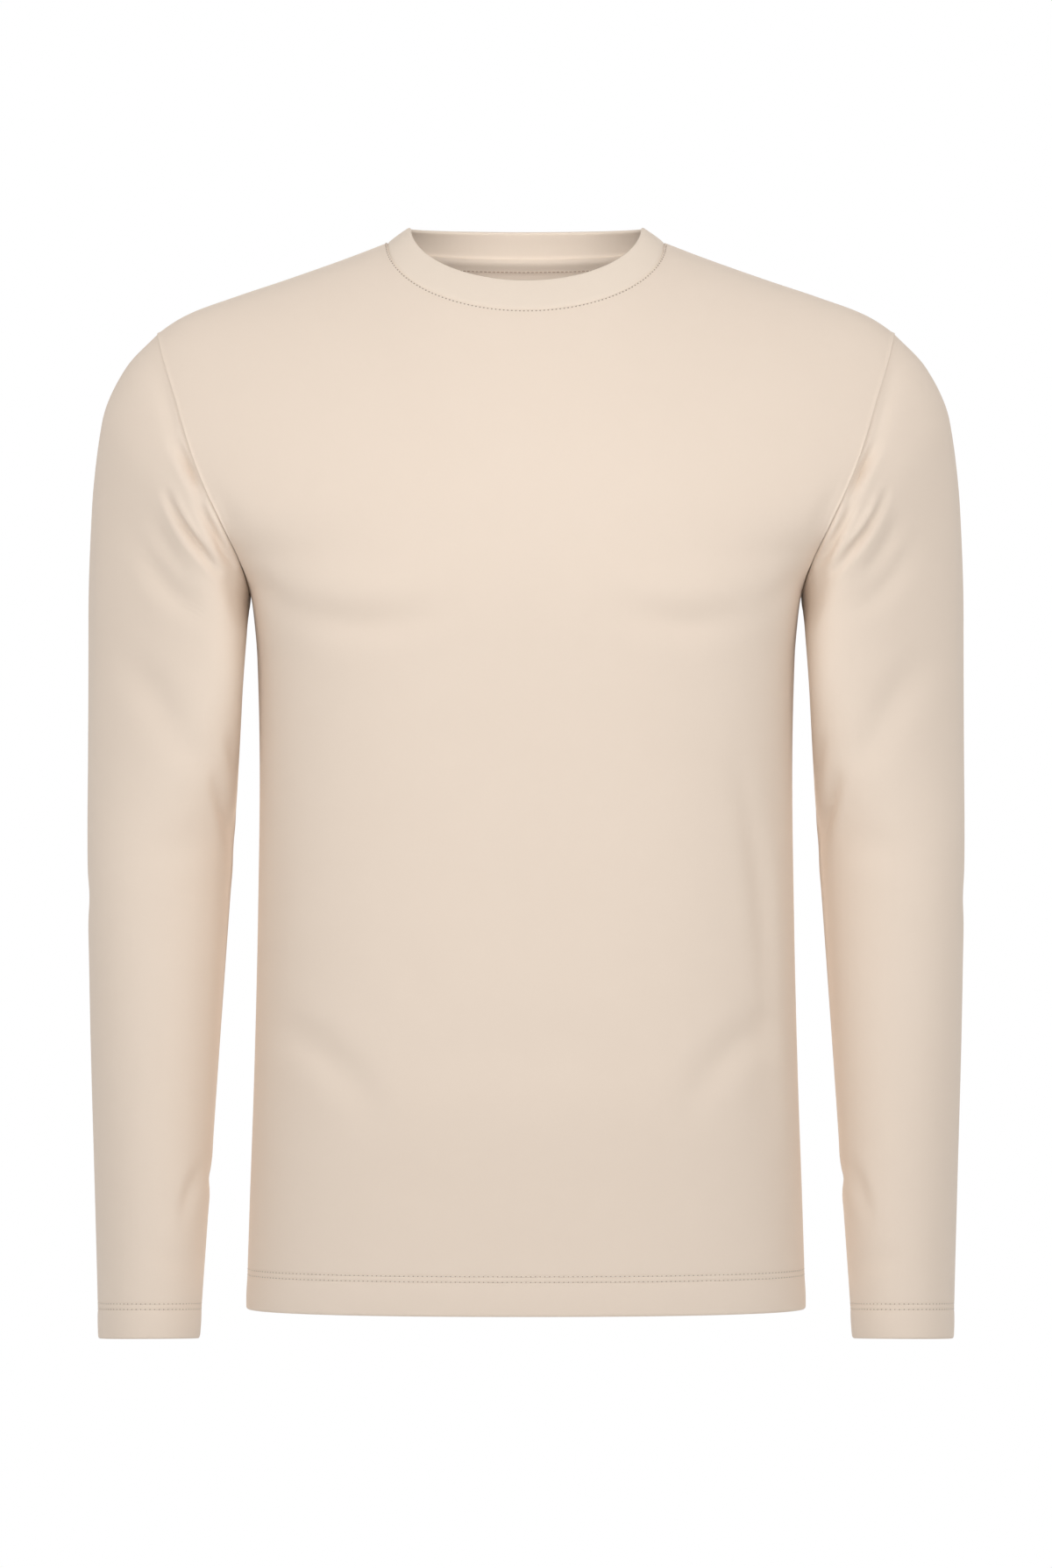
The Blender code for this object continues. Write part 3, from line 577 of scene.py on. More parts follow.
# %% The table of folds
Fold = namedtuple("Fold", "piece view start_a start_z end_a end_z bow depth half_width")
ARM_FOLDS = (
    # along the seam and towards the armpit, in front
    Fold("sleeve", "front", 0.2370, -0.0830, 0.2240, -0.1370, 0.0010, 0.0011, 0.0060),
    Fold("sleeve", "front", 0.2250, -0.1340, 0.2040, -0.1750, 0.0010, 0.0056, 0.0047),
    Fold("sleeve", "front", 0.2320, -0.1640, 0.1985, -0.2150, -0.0024, 0.0043, 0.0036),
    Fold("sleeve", "front", 0.2280, -0.1680, 0.2095, -0.1960, -0.0010, -0.0020, 0.0036),
    Fold("sleeve", "front", 0.2105, -0.1730, 0.1905, -0.2090, 0.0000, 0.0040, 0.0034),
    Fold("sleeve", "front", 0.2150, -0.1560, 0.2000, -0.1800, 0.0010, -0.0018, 0.0040),
    Fold("sleeve", "front", 0.2410, -0.1790, 0.2170, -0.2180, -0.0020, 0.0019, 0.0060),
    Fold("sleeve", "front", 0.2460, -0.2000, 0.2090, -0.2430, -0.0050, 0.0022, 0.0095),
    Fold("sleeve", "front", 0.2620, -0.2700, 0.2230, -0.3270, 0.0040, 0.0026, 0.0140),
    # inside the elbow
    Fold("sleeve", "front", 0.2015, -0.3480, 0.1890, -0.3960, 0.0006, 0.0036, 0.0046),
    Fold("sleeve", "front", 0.1910, -0.3220, 0.1850, -0.3490, 0.0000, 0.0022, 0.0042),
    Fold("sleeve", "front", 0.2300, -0.3180, 0.1990, -0.3420, -0.0030, 0.0012, 0.0120),
    Fold("sleeve", "front", 0.2420, -0.4020, 0.2030, -0.3890, 0.0040, 0.0010, 0.0130),
    # lower sleeve
    Fold("sleeve", "front", 0.2205, -0.6310, 0.2070, -0.5960, 0.0020, 0.0020, 0.0055),
    Fold("sleeve", "front", 0.2430, -0.6560, 0.2160, -0.6660, 0.0020, 0.0010, 0.0075),
    Fold("sleeve", "inner", 0.0120, -0.3350, 0.0420, -0.3560, 0.0030, 0.0026, 0.0075),
    Fold("sleeve", "inner", 0.0100, -0.3900, 0.0400, -0.4080, 0.0030, 0.0018, 0.0090),
    Fold("sleeve", "inner", -0.0200, -0.5980, 0.0120, -0.6120, 0.0020, 0.0014, 0.0080),
    Fold("sleeve", "outer", -0.0180, -0.4150, 0.0150, -0.4300, 0.0040, 0.0008, 0.0130),
    # behind the arm
    Fold("sleeve", "back", 0.2270, -0.1380, 0.1990, -0.2060, 0.0040, 0.0040, 0.0080),
    Fold("sleeve", "back", 0.2440, -0.1600, 0.2120, -0.2180, 0.0050, 0.0028, 0.0090),
    Fold("sleeve", "back", 0.2140, -0.1620, 0.1950, -0.1960, 0.0010, 0.0024, 0.0055),
    Fold("sleeve", "back", 0.2380, -0.3300, 0.2030, -0.3720, 0.0050, 0.0026, 0.0110),
    Fold("sleeve", "back", 0.2620, -0.3900, 0.2160, -0.4160, 0.0060, 0.0022, 0.0100),
    Fold("sleeve", "back", 0.2700, -0.3560, 0.2350, -0.3450, 0.0030, 0.0016, 0.0090),
    Fold("sleeve", "back", 0.2350, -0.5200, 0.2180, -0.5900, 0.0040, 0.0012, 0.0120),
)
BODY_FOLDS = (
    # under the chest, and the drag from each hip
    Fold("front", "front", -0.1600, -0.2360, -0.0530, -0.2400, 0.0120, 0.0030, 0.0130),
    Fold("front", "front", 0.1480, -0.2380, 0.0570, -0.2380, -0.0120, 0.0028, 0.0130),
    Fold("front", "front", -0.1620, -0.5060, -0.0980, -0.5640, -0.0080, 0.0028, 0.0130),
    Fold("front", "front", 0.1640, -0.5010, 0.1050, -0.5620, 0.0080, 0.0026, 0.0130),
    Fold("front", "front", -0.0900, -0.5420, 0.0850, -0.5400, -0.0160, 0.0010, 0.0260),
    # down the wearer's left side, and a short one on the right
    Fold("front", "front", 0.1350, -0.3350, 0.1590, -0.5200, -0.0050, 0.0026, 0.0075),
    Fold("front", "front", 0.1590, -0.3900, 0.1680, -0.5900, 0.0020, -0.0024, 0.0075),
    Fold("front", "front", -0.1590, -0.3900, -0.1660, -0.5000, 0.0020, 0.0008, 0.0100),
    # faint lines across the belly
    Fold("front", "front", -0.0830, -0.4520, -0.0620, -0.4900, 0.0030, 0.0006, 0.0120),
    Fold("front", "front", 0.0500, -0.4600, 0.0720, -0.4730, 0.0030, 0.0006, 0.0120),
    # from the armpit across the chest
    Fold("front", "front", -0.1780, -0.2120, -0.1500, -0.2420, 0.0020, 0.0016, 0.0070),
    Fold("front", "front", 0.1780, -0.2100, 0.1520, -0.2400, -0.0020, 0.0014, 0.0070),
    Fold("front", "front", -0.2020, -0.1600, -0.1790, -0.1920, 0.0030, 0.0010, 0.0080),
    Fold("front", "front", 0.2010, -0.1580, 0.1800, -0.1930, -0.0030, 0.0010, 0.0080),
    # on the back: blades, small of the back and hips
    Fold("back", "back", -0.1880, -0.1850, -0.1180, -0.2420, 0.0080, 0.0045, 0.0110),
    Fold("back", "back", 0.1890, -0.1900, 0.1260, -0.2560, -0.0070, 0.0039, 0.0110),
    Fold("back", "back", -0.1780, -0.2260, -0.1350, -0.2640, 0.0030, 0.0030, 0.0080),
    Fold("back", "back", 0.1770, -0.2300, 0.1420, -0.2600, -0.0030, 0.0033, 0.0080),
    Fold("back", "back", -0.1100, -0.4080, 0.1050, -0.4180, -0.0060, 0.0033, 0.0130),
    Fold("back", "back", -0.1500, -0.3800, -0.0400, -0.4420, 0.0080, 0.0024, 0.0120),
    Fold("back", "back", 0.1480, -0.3840, 0.0300, -0.4560, -0.0070, 0.0027, 0.0120),
    Fold("back", "back", -0.1200, -0.4720, 0.0600, -0.4640, -0.0060, 0.0018, 0.0140),
    Fold("back", "back", 0.1450, -0.5100, 0.0900, -0.5900, 0.0080, 0.0021, 0.0150),
    Fold("back", "back", -0.1480, -0.5000, -0.1080, -0.5750, -0.0080, 0.0021, 0.0150),
    Fold("back", "back", -0.0080, -0.1200, 0.0040, -0.3000, 0.0060, 0.0018, 0.0170),
)
print("folds:", len(ARM_FOLDS), "on each sleeve,", len(BODY_FOLDS), "on the body")

# %% [markdown]
# ## Pressing the folds into the cloth
#
# The distance from every point of a grid to a fold's bowed line says how deep it is pressed there. A
# fold fades out at both ends, on cloth that turns away from its view, and close to a seam, which
# holds the cloth.

# %% Press the folds
FOLD_SAMPLES = 28
RIDGE = 0.7  # how fast a fold and the ridges beside it die away
RIDGE_SHARE = 0.75  # how much of the cloth stands up in the ridges
END_MARGIN, END_FADE = 0.06, 0.9  # how shallow a fold starts, and how it deepens
FULLY_SEEN = 0.35  # a fold is whole on cloth that faces its view at least this much
UNEVENNESS = 0.16  # by up to this share a sleeve's fold departs from the table's depth
UNEVEN_STEP, UNEVEN_START = 2.3, 0.7  # which folds are deeper on one sleeve than on the other


def fold_line(fold):
    """Points along a fold's bowed line, and how far along it each lies, from 0 to 1."""
    start, end = np.array([fold.start_a, fold.start_z]), np.array([fold.end_a, fold.end_z])
    t = np.linspace(0.0, 1.0, FOLD_SAMPLES)[:, None]
    side = np.array([end[1] - start[1], start[0] - end[0]])
    side = side / np.linalg.norm(side)
    return start + (end - start) * t + side * fold.bow * 4 * t * (1 - t), t[:, 0]


def press_of(fold, points, normals, mirrored):
    """How far one fold pushes each point inwards."""
    flat = points * np.array([-1.0, 1.0, 1.0]) if mirrored else points
    out = normals * np.array([-1.0, 1.0, 1.0]) if mirrored else normals
    way = {"front": -out[..., 1], "back": out[..., 1], "inner": -out[..., 0], "outer": out[..., 0]}
    axis = 1 if fold.view in ("inner", "outer") else 0
    line, t = fold_line(fold)
    off_a = flat[..., axis, None] - line[:, 0]
    off_z = flat[..., 2, None] - line[:, 1]
    square = off_a**2 + off_z**2
    near = np.argmin(square, axis=-1)
    away = np.take_along_axis(square, near[..., None], -1)[..., 0] / fold.half_width**2
    fade = np.sin(math.pi * (END_MARGIN + (1.0 - 2 * END_MARGIN) * t[near])) ** END_FADE
    seen_share = np.clip(way[fold.view] / FULLY_SEEN, 0.0, 1.0)
    return fold.depth * (1.0 - RIDGE_SHARE * away) * np.exp(-RIDGE * away) * fade * seen_share


def press_folds(name, folds, mirrored=False, uneven=0.0):
    """How far all the folds of a piece push each of its points inwards."""
    points, normals = grids[name], facing[name]
    total = np.zeros(points.shape[:2])
    for i, fold in enumerate(folds):
        share = 1.0 + uneven * UNEVENNESS * math.sin(UNEVEN_STEP * i + UNEVEN_START)
        total += press_of(fold, points, normals, mirrored) * share
    return total


pressed = {
    "front": press_folds("front", [f for f in BODY_FOLDS if f.piece == "front"]),
    "back": press_folds("back", [f for f in BODY_FOLDS if f.piece == "back"]),
    "left_sleeve": press_folds("left_sleeve", ARM_FOLDS, uneven=1.0),
    "right_sleeve": press_folds("right_sleeve", ARM_FOLDS, mirrored=True, uneven=-1.0),
}
print({name: round(float(p.max()) * 1000, 1) for name, p in pressed.items()}, "mm deepest")

# %% [markdown]
# ## Seams
#
# Where two pieces are sewn together, the stitches pull both down a little, so that a seam is a narrow
# valley with rounded banks. Each edge of a grid is dipped in that way. The distance to the edge is
# measured along the cloth. At the armhole the body's side stands in a fine ridge beside the valley,
# because the seam's turning lies under it.

# %% Dip the edges
Dip = namedtuple("Dip", "depth bank")
SIDE_SEAM = Dip(0.0007, 0.0013)
NECK_SEAM = Dip(0.0005, 0.0009)
ARMHOLE_SEAM = Dip(0.0006, 0.0022)
UNDERARM_SEAM = Dip(0.0005, 0.0022)
BEAD = Dip(-0.0008, 0.0008)  # the ridge beside the armhole
BEAD_PLACE = 0.0007  # how far it lies from the seam
BEAD_START, BEAD_FADE = -0.210, 0.030
BODY_HOLD, SLEEVE_HOLD = 0.008, 0.006  # how far from a seam the folds reach their full depth
SIDE_FADE = 0.020
CAP_FADE, CAP_SHARE = 0.08, 0.15  # the armhole's seam lies flatter near the shoulder
SLEEVE_COLUMN = 0.0025  # about the distance between two columns of a sleeve


def lengths_along(points, axis):
    """Running lengths from the first row or column of a grid."""
    step = np.linalg.norm(np.diff(points, axis=axis), axis=2)
    pad = [(1, 0), (0, 0)] if axis == 0 else [(0, 0), (1, 0)]
    return np.pad(np.cumsum(step, axis=axis), pad)


def dip(distance, seam):
    """How deep a seam pulls the cloth down at a distance from it."""
    return seam.depth * np.exp(-((distance / seam.bank) ** 2))


def edge_distances(name):
    """Distance of each point along the cloth to the bottom, top and side edges of its grid."""
    points = grids[name]
    up, across = lengths_along(points, 0), lengths_along(points, 1)
    return up, up[-1] - up, np.minimum(across, across[:, -1:] - across)


dips = {}
for name in ("front", "back"):
    _, above, beside = edge_distances(name)
    height = grids[name][..., 2]
    upper = np.clip((height - ARMPIT) / SIDE_FADE, 0.0, 1.0)
    bead = dip(beside - BEAD_PLACE, BEAD) * np.clip((height - BEAD_START) / BEAD_FADE, 0.0, 1.0)
    dips[name] = dip(above, NECK_SEAM) + dip(beside, SIDE_SEAM) * (1.0 - upper) + bead * upper
    pressed[name] *= np.clip(np.minimum(above, beside) / BODY_HOLD, 0.0, 1.0)
for name in ("left_sleeve", "right_sleeve"):
    _, above, _ = edge_distances(name)
    columns = np.arange(SLEEVE_SIDES)
    if name == "right_sleeve":
        columns = columns[::-1]
    round_way = np.minimum(columns, SLEEVE_SIDES - columns) * SLEEVE_COLUMN
    low = np.clip((SHOULDER_TIP - grids[name][..., 2]) / CAP_FADE, CAP_SHARE, 1.0)
    dips[name] = dip(above, ARMHOLE_SEAM) * low + dip(round_way, UNDERARM_SEAM)
    pressed[name] *= np.clip(above / SLEEVE_HOLD, 0.0, 1.0)
print("side seams dipped by", SIDE_SEAM.depth * 1000, "mm")

# %% [markdown]
# ## Needle rows
#
# A twin needle sews the hem and the cuffs. Its two rows pull the cloth down a little between two low
# swellings, and below them the cloth lies double.

# %% Dip the needle rows
NEEDLE_ROW = Dip(0.00028, 0.0008)
TURNING_SWELL, TURNING_MIDDLE = 0.0003, 0.0085


def needle_dips(name, rows):
    """Dips of the needle rows, less the swelling of the doubled cloth below them."""
    below = edge_distances(name)[0]
    total = np.zeros(below.shape)
    for row in rows:
        total += dip(below - row, NEEDLE_ROW)
    swell = np.clip(1.0 - np.abs(below - TURNING_MIDDLE) / TURNING_MIDDLE, 0.0, 1.0) ** 0.5
    return total - TURNING_SWELL * swell


for name in grids:
    rows = CUFF_NEEDLE_ROWS if "sleeve" in name else NEEDLE_ROWS
    dips[name] = dips[name] + needle_dips(name, rows)
    grids[name] = grids[name] - facing[name] * (pressed[name] + dips[name])[..., None]
    facing[name] = outward_normals(name)
print("needle rows at", NEEDLE_ROWS, "and", CUFF_NEEDLE_ROWS)

# %% [markdown]
# ## Turning up the hem
#
# A hem is one sheet of cloth that goes down to its fold, turns back and lies double inside. Modelled
# so, its edge is round and its inside is true. The extra rows go under the grid: the fold as half a
# circle, and then the same cloth again, one hem's thickness further in.

# %% Fold an edge
HEM_THICKNESS = 0.0028
FOLD_STEPS = 6


def round_fold(edge, row_before, normals, thickness):
    """Rows of half a circle, from a sheet's edge over to its inner face."""
    radius = thickness / 2
    ahead = edge - row_before
    ahead -= np.sum(ahead * normals, axis=1, keepdims=True) * normals
    ahead /= np.linalg.norm(ahead, axis=1, keepdims=True)
    centre = edge - normals * radius
    angles = math.pi * np.arange(1, FOLD_STEPS) / FOLD_STEPS
    return np.array([centre + radius * (normals * math.cos(a) + ahead * math.sin(a)) for a in angles])


def turned_up(name, turn):
    """The grid with its bottom edge folded to the inside."""
    points, normals = grids[name], facing[name]
    rows = lengths_along(points, 0).mean(axis=1) <= turn
    inside = points[rows] - normals[rows] * HEM_THICKNESS
    fold = round_fold(points[0], points[1], normals[0], HEM_THICKNESS)
    return np.concatenate([inside[::-1], fold[::-1], points])


turned = {name: turned_up(name, CUFF_TURN if "sleeve" in name else HEM_TURN) for name in grids}
print({name: points.shape for name, points in turned.items()})

# %% [markdown]
# ## The neckband
#
# The neckband is a strip of jersey folded in half along its length and sewn to the neckline by its
# two raw edges. Its fold is the top edge of the shirt. The outer half leans in towards the neck, and
# the inner half lies behind it. It is one sheet too: up the outside, over the fold and down the
# inside.

# %% Rows of the neckband
BAND_THICKNESS = 0.0026
BAND_TOP_NARROWING = 0.851
BAND_TOP_SHALLOWING = {"front": 0.80, "back": 0.85}
BAND_TOP_SIDE = 0.0093
BAND_TOP_CENTRE = {"front": -0.0280, "back": 0.0096}
BAND_BULGE = 0.0005
BAND_EASE = 0.05  # rounds the corner where the band's front and back halves meet
BAND_SIDES = 180
BAND_ROWS = (0.0, 0.03, 0.08, 0.15, 0.25, 0.37, 0.5, 0.63, 0.75, 0.85, 0.93, 1.0)
BAND_SEAM = Dip(0.0006, 0.0009)


def by_side(in_front, values):
    """The front's value at points in front, and the back's at the others."""
    return np.where(in_front, values["front"], values["back"])


def neck_ring():
    """The seam of the neckband: along the front from the wearer's right, and back behind."""
    angles = (np.arange(BAND_SIDES) + 0.5) * 2 * math.pi / BAND_SIDES - math.pi / 2
    in_front = np.cos(angles) > 0
    x = NECK_HALF_WIDTH * np.sin(angles)
    z = -by_side(in_front, NECK_DROP) * np.abs(np.cos(angles))
    y = by_side(in_front, {side: body_depth(x, z, side) for side in OUTWARD})
    return np.stack([x, y, z], axis=1), in_front


def band_grid():
    """The band's outer half, as rings from its seam up to its fold."""
    seam, in_front = neck_ring()
    centre = np.sqrt(1.0 - (seam[:, 0] / NECK_HALF_WIDTH) ** 2 + BAND_EASE**2) - BAND_EASE
    centre /= math.sqrt(1.0 + BAND_EASE**2) - BAND_EASE
    height = BAND_TOP_SIDE + (by_side(in_front, BAND_TOP_CENTRE) - BAND_TOP_SIDE) * centre
    depth = seam[:, 1] * by_side(in_front, BAND_TOP_SHALLOWING)
    top = np.stack([seam[:, 0] * BAND_TOP_NARROWING, depth, height], axis=1)
    out = seam * np.array([1.0, 1.0, 0.0])
    out /= np.linalg.norm(out, axis=1, keepdims=True)
    bulge = out * BAND_BULGE
    return np.array([seam + (top - seam) * up + bulge * math.sin(math.pi * up) for up in BAND_ROWS])


grids["neckband"] = band_grid()
facing["neckband"] = outward_normals("neckband")
band_up = lengths_along(grids["neckband"], 0)
grids["neckband"] -= facing["neckband"] * dip(band_up, BAND_SEAM)[..., None]


def folded_band():
    """The band's outer half, its fold and its inner half, as one grid from seam to seam."""
    points, normals = grids["neckband"], facing["neckband"]
    fold = round_fold(points[-1], points[-2], normals[-1], BAND_THICKNESS)
    inside = points - normals * BAND_THICKNESS
    return np.concatenate([points, fold, inside[::-1]])


turned["neckband"] = folded_band()
print("neckband", turned["neckband"].shape)

# %% [markdown]
# ## The neck tape
#
# A narrow tape covers the seam inside the back neck, so that it doesn't rub. It lies on the inside of
# the back panel, a hair's breadth off it, just under the neckband. Its rows are points of the back
# panel, moved in, so it follows the neck exactly.

# %% Rows of the neck tape
TAPE_TOP, TAPE_BOTTOM = -0.0008, 0.0083  # drops below the neckline
TAPE_INSET = 0.0025  # from the back's outer face to the tape's
TAPE_SWELL = 0.0018  # the seam's turning under the tape lifts its upper half
SWELL_END, SWELL_PLACE = 0.80, 1.6  # the tape's top is lifted too, and its lower edge isn't
TAPE_HALF = 78.0  # degrees round the back neck to each end
TAPE_ROWS, TAPE_COLUMNS = 16, 110
TAPE_SPREAD = 0.02  # how much further its lower edge reaches


def tape_grid():
    """Rows of the tape, found on the back panel below its neckline, and moved in."""
    angles = np.radians(np.linspace(-TAPE_HALF, TAPE_HALF, TAPE_COLUMNS))
    rows = []
    for drop in np.linspace(TAPE_BOTTOM, TAPE_TOP, TAPE_ROWS):
        x = NECK_HALF_WIDTH * np.sin(angles) * (1.0 + TAPE_SPREAD * drop / TAPE_BOTTOM)
        z = -NECK_DROP["back"] * np.cos(angles) - drop
        rows.append(np.stack([x, body_depth(x, z, "back"), z], axis=1))
    return np.array(rows)


grids["neck_tape"] = tape_grid()
normals = grid_normals(grids["neck_tape"])
if normals[TAPE_ROWS // 2, TAPE_COLUMNS // 2, 1] < 0:
    normals = -normals
swell = np.sin(math.pi * SWELL_END * np.linspace(0.0, 1.0, TAPE_ROWS) ** SWELL_PLACE)
inset = TAPE_INSET + TAPE_SWELL * swell
grids["neck_tape"] = grids["neck_tape"] - normals * inset[:, None, None]
facing["neck_tape"] = -normals
turned["neck_tape"] = grids["neck_tape"]
print("neck tape", grids["neck_tape"].shape)

# %% [markdown]
# ## From grid to cloth
#
# A grid becomes a mesh by joining its neighbours with four-sided faces. Its UV map is measured in
# metres along the cloth, so the knit keeps one size everywhere. A Solidify modifier then gives the
# sheet its thickness, towards the inside of the shirt.

# %% Make a sheet
THICKNESS = {"neckband": 0.0011, "neck_tape": 0.0008}
CLOTH = 0.0012  # of all other pieces
CREASE_ANGLE = 50.0


def grid_uv(points, ring):
    """Distances across and up the cloth for each point, with a ring's first column repeated."""
    closed = np.concatenate([points, points[:, :1]], axis=1) if ring else points
    u = lengths_along(closed, 1)
    v = lengths_along(closed, 0)
    return np.stack([u - u[:, -1:] / 2, v], axis=2)


def needs_flip(name):
    """Whether a face drawn in the grid's own order would look into the shirt."""
    own = grid_normals(grids[name], name in RINGS)
    return float(np.sum(own * facing[name])) < 0


def make_sheet(name):
    """A mesh object from a piece's grid, with its UV map in metres and its thickness applied."""
    ring, flip = name in RINGS, needs_flip(name)
    points = turned[name]
    rows, count = points.shape[:2]
    uv = grid_uv(points, ring)
    faces, corners = [], []
    for r in range(rows - 1):
        for c in range(count if ring else count - 1):
            d = (c + 1) % count
            face = [r * count + c, r * count + d, (r + 1) * count + d, (r + 1) * count + c]
            corner = [uv[r, c], uv[r, c + 1], uv[r + 1, c + 1], uv[r + 1, c]]
            faces.append(face[::-1] if flip else face)
            corners.append(corner[::-1] if flip else corner)
    mesh = bpy.data.meshes.new(name + "_cloth")
    mesh.from_pydata(points.reshape(-1, 3).tolist(), [], faces)
    layer = mesh.uv_layers.new(name="cloth")
    layer.data.foreach_set("uv", np.array(corners, np.float32).ravel())
    mesh.validate()
    sheet = bpy.data.objects.new(name + "_cloth", mesh)
    bpy.context.scene.collection.objects.link(sheet)
    bpy.ops.object.select_all(action="DESELECT")
    sheet.select_set(True)
    bpy.context.view_layer.objects.active = sheet
    bpy.ops.object.shade_smooth()
    wall = sheet.modifiers.new("thickness", "SOLIDIFY")
    wall.thickness = THICKNESS.get(name, CLOTH)
    wall.offset = -1.0
    wall.use_quality_normals = True
    bpy.ops.object.modifier_apply(modifier=wall.name)
    bpy.ops.object.shade_smooth_by_angle(angle=math.radians(CREASE_ANGLE))
    return sheet


sheets = {name: make_sheet(name) for name in turned}
for name, sheet in sheets.items():
    print(name, len(sheet.data.polygons), "faces")

# %% [markdown]
# ## One stitch
#
# Thread is what makes a seam look sewn. One stitch is a short, thick loop of thread that sinks into
# the cloth at both ends. It is modelled once, from a low ball that is drawn out in edit mode. Its
# points and faces are kept, to be repeated along each row.

# %% Model one stitch
STITCH_LENGTH, STITCH_WIDTH, STITCH_HEIGHT = 0.0024, 0.00078, 0.00048

bpy.ops.object.select_all(action="DESELECT")
bpy.ops.mesh.primitive_uv_sphere_add(
    segments=6, ring_count=4, radius=0.5, rotation=(0, math.pi / 2, 0)
)
stitch = bpy.context.object
stitch.name = "one_stitch"
bpy.ops.object.mode_set(mode="EDIT")
bpy.ops.mesh.select_all(action="SELECT")
bpy.ops.transform.resize(value=(STITCH_LENGTH, STITCH_WIDTH, 2 * STITCH_HEIGHT), orient_type="GLOBAL")
bpy.ops.object.mode_set(mode="OBJECT")
bpy.ops.object.transform_apply(location=True, rotation=True, scale=True)
stitch_points = np.array([v.co[:] for v in stitch.data.vertices])
stitch_faces = [list(p.vertices) for p in stitch.data.polygons]
bpy.data.objects.remove(stitch, do_unlink=True)
stitch_size = np.ptp(stitch_points, axis=0)
print("one stitch:", len(stitch_faces), "faces", np.round(stitch_size * 1000, 2), "mm")

# %% [markdown]
# ## Sewing a row
#
# A machine's row has one stitch after another at an even pitch, and a needle hole between each two. A
# row is worked out all at once: the line on the cloth gives each stitch its place and its direction,
# and the cloth's normal says which way is up. All rows of one piece become one object, with a small
# dark spot of painted shade for each needle hole, in a second material.

# %% Sew the hem and the cuffs
STITCH_PITCH = 0.0030
# the painted shade of a needle hole: a dark spot beside each stitch, sized as shares of the stitch
HOLE_SHADE_SHAPE = (0.36, 1.0, 0.62)  # a needle hole beside a stitch, as shares of the stitch's size
REACH = 0.001  # how far before and after a stitch its direction is read


def row_line(name, height, closed):
    """Points and normals of the cloth at one height above its bottom fold."""
    points, normals = grids[name], facing[name]
    up = lengths_along(points, 0).mean(axis=1)
    row = int(np.argmin(np.abs(up - height)))
    line, out = points[row], normals[row]
    if closed:
        line, out = np.concatenate([line, line[:1]]), np.concatenate([out, out[:1]])
    return line, out


def sew(line, out, pitch=STITCH_PITCH, start=0.5, lift=0.0, shape=(1.0, 1.0, 1.0)):
    """Vertices and faces of stitches along a line on the cloth."""
    one = stitch_points * np.array(shape)
    run = running_length(line)
    count = max(1, int(run[-1] / pitch))
    middles = (np.arange(count) + start) * run[-1] / count
    ahead = read_along(middles + REACH, run, line) - read_along(middles - REACH, run, line)
    ahead /= np.linalg.norm(ahead, axis=1, keepdims=True)
    normal = read_along(middles, run, out)
    normal -= np.sum(normal * ahead, axis=1, keepdims=True) * ahead
    normal /= np.linalg.norm(normal, axis=1, keepdims=True)
    beside = np.cross(normal, ahead)
    centre = read_along(middles, run, line) + normal * lift
    places = (
        centre[:, None]
        + one[None, :, 0, None] * ahead[:, None]
        + one[None, :, 1, None] * beside[:, None]
        + one[None, :, 2, None] * normal[:, None]
    )
    starts = np.arange(count) * len(stitch_points)
    faces = [[int(start) + v for v in face] for start in starts for face in stitch_faces]
    return places.reshape(-1, 3), faces


def join_rows(name, rows, holes=()):
    """One thread object from stitch rows, and the holes' painted shade as a second material."""
    points, faces, kinds, start = [], [], [], 0
    for kind, batch in enumerate((rows, holes)):
        for row_points, row_faces in batch:
            points.append(row_points)
            faces += [[v + start for v in face] for face in row_faces]
            kinds += [kind] * len(row_faces)
            start += len(row_points)
    mesh = bpy.data.meshes.new(name)
    mesh.from_pydata(np.concatenate(points).tolist(), [], faces)
    mesh.polygons.foreach_set("material_index", kinds)
    mesh.shade_smooth()
    thread = bpy.data.objects.new(name, mesh)
    bpy.context.scene.collection.objects.link(thread)
    print(name, len(faces), "faces")
    return thread


threads = {}
for name, edge, heights in (
    ("front", "hem", NEEDLE_ROWS),
    ("back", "hem", NEEDLE_ROWS),
    ("left_sleeve", "cuff", CUFF_NEEDLE_ROWS),
    ("right_sleeve", "cuff", CUFF_NEEDLE_ROWS),
):
    lines = [row_line(name, height, name in RINGS) for height in heights]
    rows = [sew(*line) for line in lines]
    # dark spots of painted shade at the needle holes between the stitches
    holes = [sew(*line, start=0.0, shape=HOLE_SHADE_SHAPE) for line in lines]
    threads[name] = join_rows(f"{name}_{edge}_stitches", rows, holes)

# %% [markdown]
# ## The neck's stitches
#
# The neckband's seam has one row of stitches just under it, on the front and back panels, and the
# tape has one row along its lower edge. The row under the band doesn't follow a row of the grid, so
# its normals come from the formula of the body's surface, a short step to each side of the line.

# %% Sew the neck
NECK_ROW = 0.0012  # how far the row lies below the seam
NECK_PITCH, TAPE_PITCH = 0.0026, 0.0028
NECK_LIFT = -0.0003
# the neck row's needle holes are dark spots of painted shade, sized as shares of a stitch
NECK_HOLE_SHADE_SHAPE = (0.5, 1.2, 0.9)
ROW_END, ROW_POINTS = 88.0, 140
ROW_SPREAD, ROW_LEAST = 0.9, 0.12  # shares of NECK_ROW: outside and below the seam at the shoulder
BELOW_SHOULDER = 0.0002
NORMAL_STEP = 0.0004


